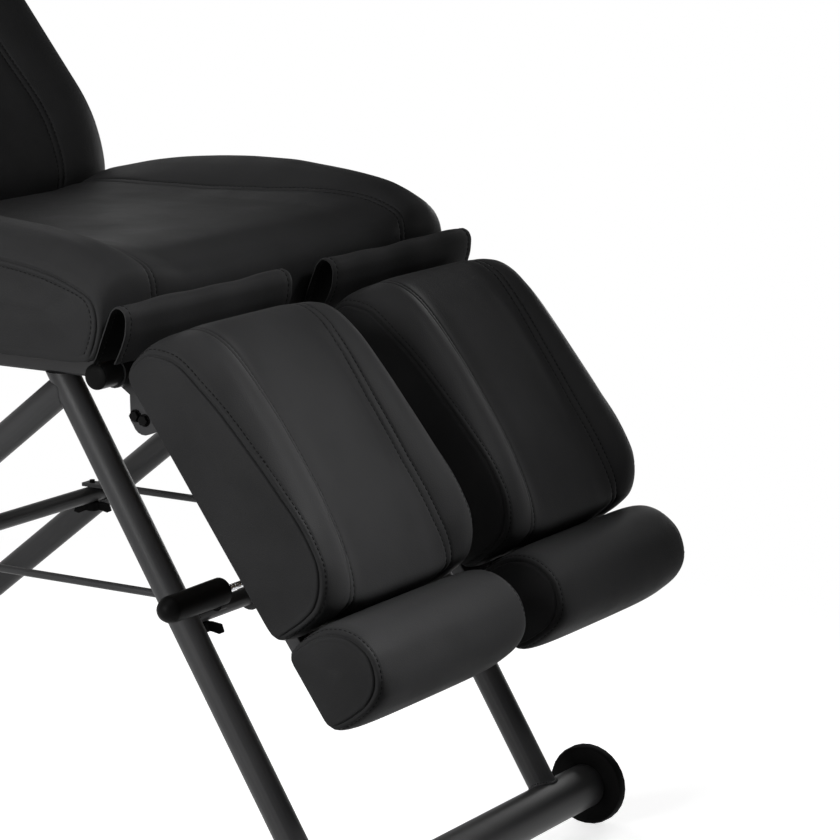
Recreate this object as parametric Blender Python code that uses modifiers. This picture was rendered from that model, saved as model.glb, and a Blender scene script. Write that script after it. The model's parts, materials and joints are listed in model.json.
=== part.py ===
"""Beauty treatment chair with reclining backrest, two lifting leg rests and sliding foot cushions."""

import math

import bpy
import bmesh
import numpy as np
from mathutils import Matrix, Vector

# Driving dimensions, metres and degrees. +X points to the feet, +Y to the sitter's left, +Z up.

GAP = 0.0003            # clearance between pieces that touch
RUN = 0.0005            # clearance of sliding and turning fits

LEG_HINGE = (0.290, 0.557)      # X and Z of the leg rest hinge
BACK_HINGE = (-0.195, 0.557)    # X and Z of the backrest hinge
LEG_SLOPE = 54.5                # leg rests below level at rest
BACK_SLOPE = 52.0               # backrest above level at rest

APEX = (0.201, 0.530)           # where the front and rear leg axes cross
FRONT_SLOPE = 58.4
REAR_SLOPE = 38.07
LEG_Y = 0.211                   # leg tubes, seat rails
LEG_R = 0.015
BAR_R = 0.0235
BAR_HALF = 0.290
CAP_R = 0.0435
CAP_IN = 0.282
CAP_OUT = 0.300
CAP_SOCKET = BAR_HALF + RUN
CAP_SOLE = 0.0012               # depth of the flat sole cut under each cap

CROSS_R = 0.009
CROSS_Z = 0.3135
ROD_R = 0.004
ROD_Y = 0.180
EYE = 0.004                     # flattened ends of the spreader rods
EYE_HALF = 0.0075
SCREW_R = 0.003
WING_H = 0.009

RAIL_W = 0.025
RAIL_H = 0.030
RAIL_REAR = -0.212
RAIL_FRONT = 0.306
HINGE_R = 0.0125
HINGE_HALF = 0.283
BOARD = 0.012
SEAT_HALF = 0.302
SEAT_FRONT = 0.313
SEAT_REAR = -0.128
SEAT_BOARD_IN = 0.040           # seat board in from the sides of the cushion
SEAT_BOLSTER = 0.157            # side bolsters, in from the sides, and the width over which they rise
SEAT_RISE = 0.115
EDGE_ROLL = 0.040               # rounding along the sides of the seat and back cushions, and its drop
EDGE_DROP = 0.019
EDGE_NIP = 0.022                # strip along those sides that is drawn in towards the seam
NIP = 0.002
SEAM_NIP = 0.006
EDGE_LINES = (0.052, 0.030, 0.014, 0.004)           # section lines in from a cushion's sides
MIDDLE_LINES = (0.0, 0.28, 0.48, 0.62, 0.76, 0.88)  # and on the way to them, from the middle plane

PAD_MID = 0.164                 # leg rest centre from the middle plane
PAD_HALF = 0.131
PAD_BASE = 0.0395               # pad underside above the hinge axis, square to the pad
PAD_SINK = 0.010                # hollow along the middle of the pad between its side bolsters
FOOT_BASE = 0.0455
FOOT_TOP = 0.0540                # top of the foot board
FRAME_Y = 0.0765                # leg frame rails from the leg rest centre
FRAME_R = 0.010
FRAME_BORE = 0.008
SLIDE_R = FRAME_BORE - RUN
SLEEVE_R = 0.015
SLEEVE_HALF = 0.016
PLATE = 0.006
WELD = 0.0012                   # depth that welded pieces share
SLIDE_IN = 0.150                # foot rods along the leg, inside the rails and out at the foot
SLIDE_OUT = 0.396

STRUT_Y = 0.060                 # struts from the middle plane
STRUT_L = 0.040                 # strut pin on the leg rest, along the leg and square to it
STRUT_N = 0.010
STRUT_PIN_R = 0.004
STRUT_EYE = STRUT_PIN_R + 0.0034    # the pin floats in its lugs
BARREL_R = 0.011
BARREL_END = 0.135
STRUT_ROD_R = 0.005
STRUT_ROD_IN = 0.060
STRUT_HALF = 0.012
LUG = 0.004
LUG_Y = 0.009

LEVER = (0.387, 0.351)          # X and Z of the lever rod
LEVER_Y = 0.098
LEVER_R = 0.0035
GRIP_R = 0.013
GRIP_IN = 0.221
GRIP_OUT = 0.3165

BACK_Y = 0.250
BACK_LOW = 0.027
BACK_TOP = 0.745
BACK_HALF = 0.302
BACK_BOARD_IN = 0.026           # back board in from the sides, and from the two ends of the cushion
BACK_BOARD_LOW = 0.023
BACK_BOARD_TOP = 0.025
BACK_BOLSTER = 0.182
BACK_RISE = 0.130
BACK_CORNER = 0.072             # width and height of the rounded upper corners
BACK_CORNER_H = 0.060
BACK_RAIL_TOP = 0.115           # upper ends of the rails and of the cross bar, below the cushion's top
BACK_BAR_TOP = 0.165
BACK_BAR_W = 0.030

FLAP = 0.0025
FLAP_IN = 0.036
FLAP_OUT = 0.306


# Scene and collections

for ob in list(bpy.data.objects):
    bpy.data.objects.remove(ob, do_unlink=True)


def collection(name):
    coll = bpy.data.collections.new(name)
    bpy.context.scene.collection.children.link(coll)
    return coll


PARTS = collection("beauty_treatment_chair")
CUTTERS = collection("cutters")
CUTTERS.hide_render = True


def material(name, colour, rough, metal=0.0):
    mat = bpy.data.materials.new(name)
    mat.use_nodes = True
    shader = mat.node_tree.nodes["Principled BSDF"]
    shader.inputs["Base Color"].default_value = (*colour, 1)
    shader.inputs["Roughness"].default_value = rough
    shader.inputs["Metallic"].default_value = metal
    mat.diffuse_color = (*colour, 1)
    return mat


COAT = ("coat", (0.05, 0.05, 0.055), 0.45, 0.0)
STEEL = ("steel", (0.75, 0.75, 0.77), 0.2, 1.0)
RUBBER = ("rubber", (0.01, 0.01, 0.01), 0.7, 0.0)
LEATHER = ("leather", (0.03, 0.03, 0.03), 0.5, 0.0)
WOOD = ("plywood", (0.45, 0.32, 0.18), 0.6, 0.0)
PLASTIC = ("plastic", (0.012, 0.012, 0.012), 0.5, 0.0)


def add(name, mesh, look=None, coll=None):
    ob = bpy.data.objects.new(name, mesh)
    (coll or PARTS).objects.link(ob)
    if look:
        mesh.materials.clear()
        mesh.materials.append(material(f"{name}_{look[0]}", *look[1:]))
    return ob


def from_bmesh(name, bm, look=None, coll=None, matrix=None):
    if matrix is not None:
        bmesh.ops.transform(bm, matrix=matrix, verts=bm.verts)
    bmesh.ops.recalc_face_normals(bm, faces=bm.faces)
    mesh = bpy.data.meshes.new(name)
    bm.to_mesh(mesh)
    bm.free()
    return add(name, mesh, look, coll)


def as_cutter(ob):
    ob.hide_render = True
    ob.display_type = "WIRE"
    return ob


# Shapes

def along(p0, p1):
    p0, p1 = Vector(p0), Vector(p1)
    return Matrix.Translation(p0) @ (p1 - p0).to_track_quat("Z", "Y").to_matrix().to_4x4(), (p1 - p0).length


def cylinder(name, p0, p1, r, look=None, segments=24, coll=None, matrix=None):
    place, length = along(p0, p1)
    bm = bmesh.new()
    bmesh.ops.create_cone(bm, cap_ends=True, segments=segments, radius1=r, radius2=r, depth=length,
                          matrix=place @ Matrix.Translation((0, 0, length / 2)))
    return from_bmesh(name, bm, look, coll, matrix)


def box(name, lo, hi, look=None, bevel=0.0, coll=None, matrix=None):
    lo, hi = Vector(lo), Vector(hi)
    bm = bmesh.new()
    bmesh.ops.create_cube(bm, size=1.0, matrix=Matrix.Translation((lo + hi) / 2)
                          @ Matrix.Diagonal((*(hi - lo), 1.0)))
    ob = from_bmesh(name, bm, look, coll, matrix)
    if bevel:
        edge = ob.modifiers.new("edge", "BEVEL")
        edge.width = bevel
        edge.segments = 1
    return ob


def revolved(name, profile, look, matrix, steps=28):
    """Profile of radius and height pairs, top to bottom on the outer side, turned about local Z."""
    bm = bmesh.new()
    points = [bm.verts.new((r, 0, h)) for r, h in profile]
    for a, b in zip(points, points[1:]):
        bm.edges.new((a, b))
    mesh = bpy.data.meshes.new(name)
    bm.to_mesh(mesh)
    bm.free()
    ob = add(name, mesh, look)
    turn = ob.modifiers.new("turn", "SCREW")
    turn.steps = steps
    turn.render_steps = steps
    turn.use_merge_vertices = True
    turn.merge_threshold = 0.00005
    ob.matrix_world = matrix
    return ob


def plate(name, outline, holes, thickness, look, matrix, coll=None):
    """Flat plate: an outline and round holes in local XY, thickness centred on local Z."""
    curve = bpy.data.curves.new(name, "CURVE")
    curve.dimensions = "2D"
    curve.fill_mode = "BOTH"
    curve.extrude = thickness / 2
    rings = [outline]
    for x, y, r in holes:
        rings.append(arc(x, y, r, 0, 360, 17)[:-1])
    for ring in rings:
        spline = curve.splines.new("POLY")
        spline.points.add(len(ring) - 1)
        spline.use_cyclic_u = True
        for point, (x, y) in zip(spline.points, ring):
            point.co = (x, y, 0, 1)
    return from_curve(name, curve, look, matrix, coll)


def from_curve(name, curve, look, matrix, coll=None):
    temp = bpy.data.objects.new(name + "_curve", curve)
    bpy.context.scene.collection.objects.link(temp)
    deps = bpy.context.evaluated_depsgraph_get()
    mesh = bpy.data.meshes.new_from_object(temp.evaluated_get(deps))
    bpy.data.objects.remove(temp, do_unlink=True)
    bm = bmesh.new()
    bm.from_mesh(mesh)
    bmesh.ops.remove_doubles(bm, verts=bm.verts, dist=0.00001)
    bpy.data.meshes.remove(mesh)
    return from_bmesh(name, bm, look, coll, matrix)


def loft(name, sections, look, matrix=None):
    """Closed solid through sections of equal point count, with flat ends."""
    bm = bmesh.new()
    rings = [[bm.verts.new(p) for p in section] for section in sections]
    for a, b in zip(rings, rings[1:]):
        for i in range(len(a)):
            j = (i + 1) % len(a)
            bm.faces.new((a[i], a[j], b[j], b[i]))
    bm.faces.new(rings[0])
    bm.faces.new(rings[-1])
    return from_bmesh(name, bm, look, None, matrix)


def boolean(ob, other, operation="DIFFERENCE"):
    mod = ob.modifiers.new(operation.lower(), "BOOLEAN")
    mod.operation = operation
    mod.solver = "EXACT"
    mod.object = as_cutter(other)


def cut_round(ob, p0, p1, r, segments=32):
    boolean(ob, cylinder(f"{ob.name}_cut{len(ob.modifiers)}", p0, p1, r, segments=segments, coll=CUTTERS))


def arc(cx, cy, r, a0, a1, count):
    return [(cx + r * math.cos(math.radians(a)), cy + r * math.sin(math.radians(a)))
            for a in np.linspace(a0, a1, count)]


def hang(pivot_name, where, objects):
    """Parent empty on the joint axis of a moving body."""
    pivot = bpy.data.objects.new(pivot_name, None)
    PARTS.objects.link(pivot)
    pivot.location = where
    for ob in objects:
        ob.parent = pivot
        ob.matrix_parent_inverse = Matrix.Translation(where).inverted()


def smooth(t):
    t = min(1.0, max(0.0, t))
    return t * t * (3 - 2 * t)


# Frames of the leg rests (along, across, outward) and of the backrest

def slope_frame(origin, slope, towards_feet):
    c, s = math.cos(math.radians(slope)), math.sin(math.radians(slope))
    x = Vector((c, 0, -s)) if towards_feet else Vector((-c, 0, s))
    z = Vector((s, 0, c))
    y = z.cross(x)
    frame = Matrix.Identity(4)
    for i, axis in enumerate((x, y, z)):
        frame.col[i][:3] = axis
    frame.col[3][:3] = (origin[0], 0, origin[1])
    return frame


LEG = slope_frame(LEG_HINGE, LEG_SLOPE, True)
BACK = slope_frame(BACK_HINGE, BACK_SLOPE, False)
FLAT_XZ = Matrix(((1, 0, 0, 0), (0, 0, 1, 0), (0, 1, 0, 0), (0, 0, 0, 1)))   # plate XY to world XZ
SIDES = (("right", -1), ("left", 1))


# Base: legs, floor bars, caps, cross tubes, spreader rods

def leg_point(slope, toward, z):
    return APEX[0] + toward * (APEX[1] - z) / math.tan(math.radians(slope)), z


BAR_Z = CAP_R - CAP_SOLE
rail_under = LEG_HINGE[1] - RAIL_H / 2
front_foot = leg_point(FRONT_SLOPE, 1, BAR_Z)
rear_foot = leg_point(REAR_SLOPE, -1, BAR_Z)
front_top = leg_point(FRONT_SLOPE, 1, rail_under + 0.030)
front_cross = leg_point(FRONT_SLOPE, 1, CROSS_Z)
rear_cross = leg_point(REAR_SLOPE, -1, CROSS_Z)

for side, sign in SIDES:
    y = sign * LEG_Y
    front = cylinder(f"front_leg_{side}", (front_foot[0], y, BAR_Z), (front_top[0], y, front_top[1]), LEG_R,
                     COAT)
    boolean(front, box(f"front_leg_{side}_top", (0, y - 0.05, rail_under - GAP), (0.4, y + 0.05, 0.7),
                       coll=CUTTERS))
    cut_round(front, (front_foot[0], y - 0.05, BAR_Z), (front_foot[0], y + 0.05, BAR_Z), BAR_R + GAP)
    rear = cylinder(f"rear_leg_{side}", (rear_foot[0], y, BAR_Z), (APEX[0], y, APEX[1]), LEG_R, COAT)
    cut_round(rear, (front_cross[0], y, front_cross[1]), (front_top[0], y, front_top[1]), LEG_R + GAP)
    cut_round(rear, (rear_foot[0], y - 0.05, BAR_Z), (rear_foot[0], y + 0.05, BAR_Z), BAR_R + GAP)

cap_profile = [(0.0, CAP_OUT), (CAP_R - 0.009, CAP_OUT), (CAP_R - 0.0025, CAP_OUT - 0.0022),
               (CAP_R, CAP_OUT - 0.006), (CAP_R, CAP_IN + 0.005), (CAP_R - 0.0015, CAP_IN + 0.0015),
               (CAP_R - 0.005, CAP_IN), (BAR_R + RUN, CAP_IN), (BAR_R + RUN, CAP_SOCKET), (0.0, CAP_SOCKET)]
for end, foot in (("front", front_foot), ("rear", rear_foot)):
    cylinder(f"{end}_floor_bar", (foot[0], -BAR_HALF, BAR_Z), (foot[0], BAR_HALF, BAR_Z), BAR_R, COAT, 28)
    for side, sign in SIDES:
        turn = Matrix.Translation((foot[0], 0, BAR_Z)) @ Matrix.Rotation(-sign * math.pi / 2, 4, "X")
        cap = revolved(f"floor_cap_{end}_{side}", cap_profile, RUBBER, turn)
        sole = box(f"{cap.name}_sole", (foot[0] - 0.06, sign * CAP_OUT - 0.06, -0.02),
                   (foot[0] + 0.06, sign * CAP_OUT + 0.06, 0), coll=CUTTERS)
        boolean(cap, sole)

CROSSES = (("front", front_cross, front_foot), ("rear", rear_cross, rear_foot))
for end, cross, foot in CROSSES:
    tube = cylinder(f"{end}_cross_tube", (cross[0], -LEG_Y, CROSS_Z), (cross[0], LEG_Y, CROSS_Z), CROSS_R,
                    COAT)
    for side, sign in SIDES:
        y = sign * LEG_Y
        cut_round(tube, (foot[0], y, foot[1]), (APEX[0], y, APEX[1]), LEG_R + GAP)
        cut_round(tube, (cross[0], sign * ROD_Y, CROSS_Z - 0.03), (cross[0], sign * ROD_Y, CROSS_Z + 0.03),
                  SCREW_R + RUN, 16)

eye_z = CROSS_Z + CROSS_R + GAP
rod_z = eye_z + EYE / 2
for side, sign in SIDES:
    y = sign * ROD_Y
    rod = cylinder(f"spreader_rod_{side}", (rear_cross[0] + 0.013, y, rod_z),
                   (front_cross[0] - 0.013, y, rod_z), ROD_R, COAT, 16)
    for end, cross, foot in CROSSES:
        toward = math.copysign(1, cross[0] - APEX[0])
        reach = sorted((cross[0] + toward * 0.009, cross[0] - toward * 0.020))
        boolean(rod, box(f"{rod.name}_{end}", (reach[0], y - EYE_HALF, eye_z),
                         (reach[1], y + EYE_HALF, eye_z + EYE), coll=CUTTERS), "UNION")
    for end, cross, foot in CROSSES:
        cut_round(rod, (cross[0], y, eye_z - 0.02), (cross[0], y, eye_z + 0.02), SCREW_R + RUN, 16)


def wing_screw(name, x, y, top):
    """Hub with two wings under the cross tube and a shank up through the tube and the rod's eye."""
    half = WING_H
    outline = [(-half, 0), (-0.019, -0.003), (-0.021, -0.010), (-0.016, -0.012), (-half + 0.001, -WING_H),
               (half - 0.001, -WING_H), (0.016, -0.012), (0.021, -0.010), (0.019, -0.003), (half, 0)]
    turned = Matrix.Translation((x, y, top)) @ Matrix.Rotation(0.6, 4, "Z")
    screw = plate(name, outline, [], 0.005, PLASTIC, turned @ FLAT_XZ)
    for part, z0, z1, r in (("hub", top, top - WING_H, 0.0075),
                            ("shank", top - WING_H / 2, eye_z + EYE + 0.003, SCREW_R)):
        boolean(screw, cylinder(f"{name}_{part}", (x, y, z1), (x, y, z0), r, segments=16, coll=CUTTERS),
                "UNION")


for end, cross, foot in CROSSES:
    for side, sign in SIDES:
        wing_screw(f"wing_screw_{end}_{side}", cross[0], sign * ROD_Y, CROSS_Z - CROSS_R - GAP)


# Seat frame: rails, cross bar, hinge tubes, board

for side, sign in SIDES:
    y = sign * LEG_Y
    rail = box(f"seat_rail_{side}", (RAIL_REAR, y - RAIL_W / 2, rail_under),
               (RAIL_FRONT, y + RAIL_W / 2, rail_under + RAIL_H), COAT, 0.002)
    for hinge in (LEG_HINGE, BACK_HINGE):
        cut_round(rail, (hinge[0], y - 0.05, hinge[1]), (hinge[0], y + 0.05, hinge[1]), HINGE_R + GAP, 24)

inner = LEG_Y - RAIL_W / 2 - GAP
box("seat_cross_bar", (0.02, -inner, rail_under), (0.05, inner, rail_under + RAIL_H), COAT, 0.002)
for name, hinge in (("leg_hinge_tube", LEG_HINGE), ("back_hinge_tube", BACK_HINGE)):
    cylinder(name, (hinge[0], -HINGE_HALF, hinge[1]), (hinge[0], HINGE_HALF, hinge[1]), HINGE_R, COAT)

board_z = rail_under + RAIL_H + GAP
board_half = SEAT_HALF - SEAT_BOARD_IN
board_ends = (SEAT_REAR + 0.016, SEAT_FRONT - 0.0155)
box("seat_board", (board_ends[0], -board_half, board_z), (board_ends[1], board_half, board_z + BOARD), WOOD,
    0.002)


# Seat cushion: arched side bolsters, sunk centre, drawn-in lower edge

CREST = ((0.313, 0.653), (0.300, 0.662), (0.281, 0.671), (0.262, 0.6775), (0.230, 0.6835), (0.196, 0.688),
         (0.130, 0.693), (0.077, 0.693), (0.023, 0.690), (-0.031, 0.683), (-0.087, 0.671), (-0.128, 0.658))
CENTRE = ((0.313, 0.634), (0.285, 0.653), (0.225, 0.659), (0.122, 0.657), (0.0, 0.654), (-0.128, 0.652))


def table(pairs, x):
    xs, zs = zip(*sorted(pairs))
    return float(np.interp(x, xs, zs))


def edge_drop(y, half):
    """How far the top of a cushion falls towards its sides."""
    return EDGE_DROP * max(0.0, (abs(y) - half + EDGE_ROLL) / EDGE_ROLL) ** 2.4


def seat_top(x, y):
    rise = smooth((abs(y) - SEAT_HALF + SEAT_BOLSTER) / SEAT_RISE)
    height = table(CENTRE, x) * (1 - rise) + table(CREST, x) * rise
    return height - edge_drop(y, SEAT_HALF)


seat_under = board_z + GAP


def seat_section(y, pull):
    """Section across X and Z at one Y, drawn in by pull at the outer faces."""
    front = [(SEAT_FRONT - 0.012, seat_under), (SEAT_FRONT - 0.0095, seat_under + 0.006),
             (SEAT_FRONT - 0.003, seat_under + 0.024), (SEAT_FRONT, seat_under + 0.042)]
    top = seat_top(SEAT_FRONT - 0.020, y)
    front += [(SEAT_FRONT - 0.0005, top - 0.024), (SEAT_FRONT - 0.006, top - 0.008)]
    upper = [(x, seat_top(x, y)) for x in np.linspace(SEAT_FRONT - 0.022, SEAT_REAR + 0.020, 11)]
    top = seat_top(SEAT_REAR, y)
    rear = [(SEAT_REAR + 0.005, top - 0.008), (SEAT_REAR, top - 0.024),
            (SEAT_REAR + 0.002, seat_under + 0.020), (SEAT_REAR + 0.006, seat_under)]
    mid_x = (SEAT_FRONT + SEAT_REAR) / 2
    out = []
    for x, z in front + upper + rear:
        x = x - math.copysign(pull, x - mid_x) * smooth(abs(x - mid_x) / 0.2)
        z = z - pull * smooth((z - seat_under) / 0.06)
        out.append((x, y, z))
    return out


def cushion_sections(section, half):
    """Sections from one side of a cushion to the other, drawn in near the sides."""
    reach = half - EDGE_LINES[0]
    lines = [share * reach for share in MIDDLE_LINES] + [half - inset for inset in EDGE_LINES]
    lines = sorted({-y for y in lines} | set(lines))
    inner = [section(y, NIP * max(0.0, (abs(y) - half + EDGE_NIP) / (EDGE_NIP - NIP))) for y in lines]
    return [section(-half, SEAM_NIP), *inner, section(half, SEAM_NIP)]


seat = loft("seat_cushion", cushion_sections(seat_section, SEAT_HALF), LEATHER)
boolean(seat, box("seat_cushion_pocket", (board_ends[0] - GAP, -board_half - GAP, seat_under - 0.01),
                  (board_ends[1] + GAP, board_half + GAP, board_z + BOARD + GAP), coll=CUTTERS))


# Frame rail of a leg rest or of the backrest, with its hinge plate and sleeve welded on

def hinged_rail(name, y, end, frame):
    ob = cylinder(name, (0.030, y, FRAME_N), (end, y, FRAME_N), FRAME_R, COAT, 20, matrix=frame)
    boolean(ob, cylinder(name + "_bore", (0.090, y, FRAME_N), (end + 0.01, y, FRAME_N), FRAME_BORE,
                         segments=20, coll=CUTTERS, matrix=frame))
    outline = arc(0, 0, SLEEVE_R - WELD, 112, 296, 9)
    outline += [(0.0235, -0.0056), (0.0440, -0.0196)] + arc(0.0525, -0.0065, 0.0135, 255, 350, 6)
    outline += [(0.074, 0.024), (0.074, PAD_BASE - 0.001), (0.036, PAD_BASE - 0.001), (0.024, 0.0125)]
    holes = [(0.0433, -0.0115, 0.003), (0.0520, -0.0050, 0.003)]
    boolean(ob, plate(name + "_plate", outline, holes, PLATE, None,
                      frame @ Matrix.Translation((0, y, 0)) @ FLAT_XZ, CUTTERS), "UNION")
    boolean(ob, cylinder(name + "_sleeve", (0, y - SLEEVE_HALF, 0), (0, y + SLEEVE_HALF, 0), SLEEVE_R,
                         segments=24, coll=CUTTERS, matrix=frame), "UNION")
    boolean(ob, cylinder(name + "_turn", (0, y - 0.05, 0), (0, y + 0.05, 0), HINGE_R + RUN, segments=24,
                         coll=CUTTERS, matrix=frame))
    return ob


FRAME_N = PAD_BASE - GAP - FRAME_R

# Side outline of the leg pad, from the upper end over the top to the lower end
PAD_SIDE = ((0.019, PAD_BASE), (0.0150, 0.047), (0.0121, 0.0565), (0.0117, 0.0715), (0.0211, 0.0881),
            (0.0382, 0.1017), (0.0670, 0.1094), (0.1022, 0.1175), (0.1443, 0.1231), (0.1972, 0.1284),
            (0.2300, 0.1310), (0.2640, 0.1284), (0.2900, 0.1150), (0.3030, 0.0950), (0.3055, 0.0700),
            (0.3055, 0.0480), (0.3025, PAD_BASE))
# Crown of the pad at mid width, point for point with the side outline
PAD_CROWN = ((0.016, PAD_BASE), (0.0105, 0.048), (0.0065, 0.058), (0.0040, 0.0735), (0.0080, 0.0970),
             (0.0220, 0.1175), (0.0510, 0.1300), (0.0950, 0.1340), (0.1420, 0.1350), (0.1960, 0.1340),
             (0.2320, 0.1315), (0.2660, 0.1262), (0.2935, 0.1165), (0.3068, 0.1030), (0.3100, 0.0760),
             (0.3085, 0.0500), (0.3030, PAD_BASE))
FOOT_SIDE = ((0.3175, FOOT_BASE), (0.3157, 0.0540), (0.3147, 0.0720), (0.3160, 0.0880), (0.3240, 0.1090),
             (0.3420, 0.1230), (0.3620, 0.1275), (0.3820, 0.1235), (0.3960, 0.1120), (0.4025, 0.0935),
             (0.4035, 0.0720), (0.4020, 0.0540), (0.3990, FOOT_BASE))
FOOT_CROWN = ((0.3180, FOOT_BASE), (0.3152, 0.0560), (0.3136, 0.0740), (0.3150, 0.0900), (0.3230, 0.1100),
              (0.3410, 0.1235), (0.3630, 0.1275), (0.3840, 0.1235), (0.3995, 0.1115), (0.4063, 0.0925),
              (0.4075, 0.0720), (0.4060, 0.0540), (0.4015, FOOT_BASE))


def padded_sections(side, crown, mid, pull, sink=0.0):
    """Side outline at both faces, swelling to the crown across the width, hollow by sink along the middle."""
    mean = sum(p[0] for p in side) / len(side)
    base = side[0][1]
    half = [0.2, 0.45, 0.62, 0.80, 0.90, 0.97, 1.0]
    out = []
    for v in [-v for v in reversed(half)] + half:
        swell = 1 - abs(v) ** 7
        hollow = sink * (1 - smooth((abs(v) - 0.40) / 0.40))
        drawn = pull * max(0.0, (abs(v) - 0.94) / 0.06) ** 2
        ring = []
        for (l0, n0), (l1, n1) in zip(side, crown):
            l = l0 + (l1 - l0) * swell
            n = n0 + (n1 - n0) * swell - hollow * smooth((n1 - 0.100) / 0.025)
            l -= drawn * smooth(abs(l - mean) / 0.03) * math.copysign(1, l - mean)
            ring.append((l, mid + v * PAD_HALF, n - drawn * smooth((n - base) / 0.06)))
        out.append(ring)
    return out


def pocket(ob, lo, hi, frame):
    """Room for a carrier board, open below."""
    boolean(ob, box(ob.name + "_pocket", lo, hi, coll=CUTTERS, matrix=frame))


# Strut line: from the front cross tube to its pin on the leg rest
strut_foot = Vector((front_cross[0], 0, CROSS_Z))
strut_pin = LEG @ Vector((STRUT_L, 0, STRUT_N))
strut_dir = (strut_pin - strut_foot).normalized()
strut_len = (strut_pin - strut_foot).length
STRUT = Matrix.Translation(strut_foot) @ strut_dir.to_track_quat("Z", "Y").to_matrix().to_4x4()

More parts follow.
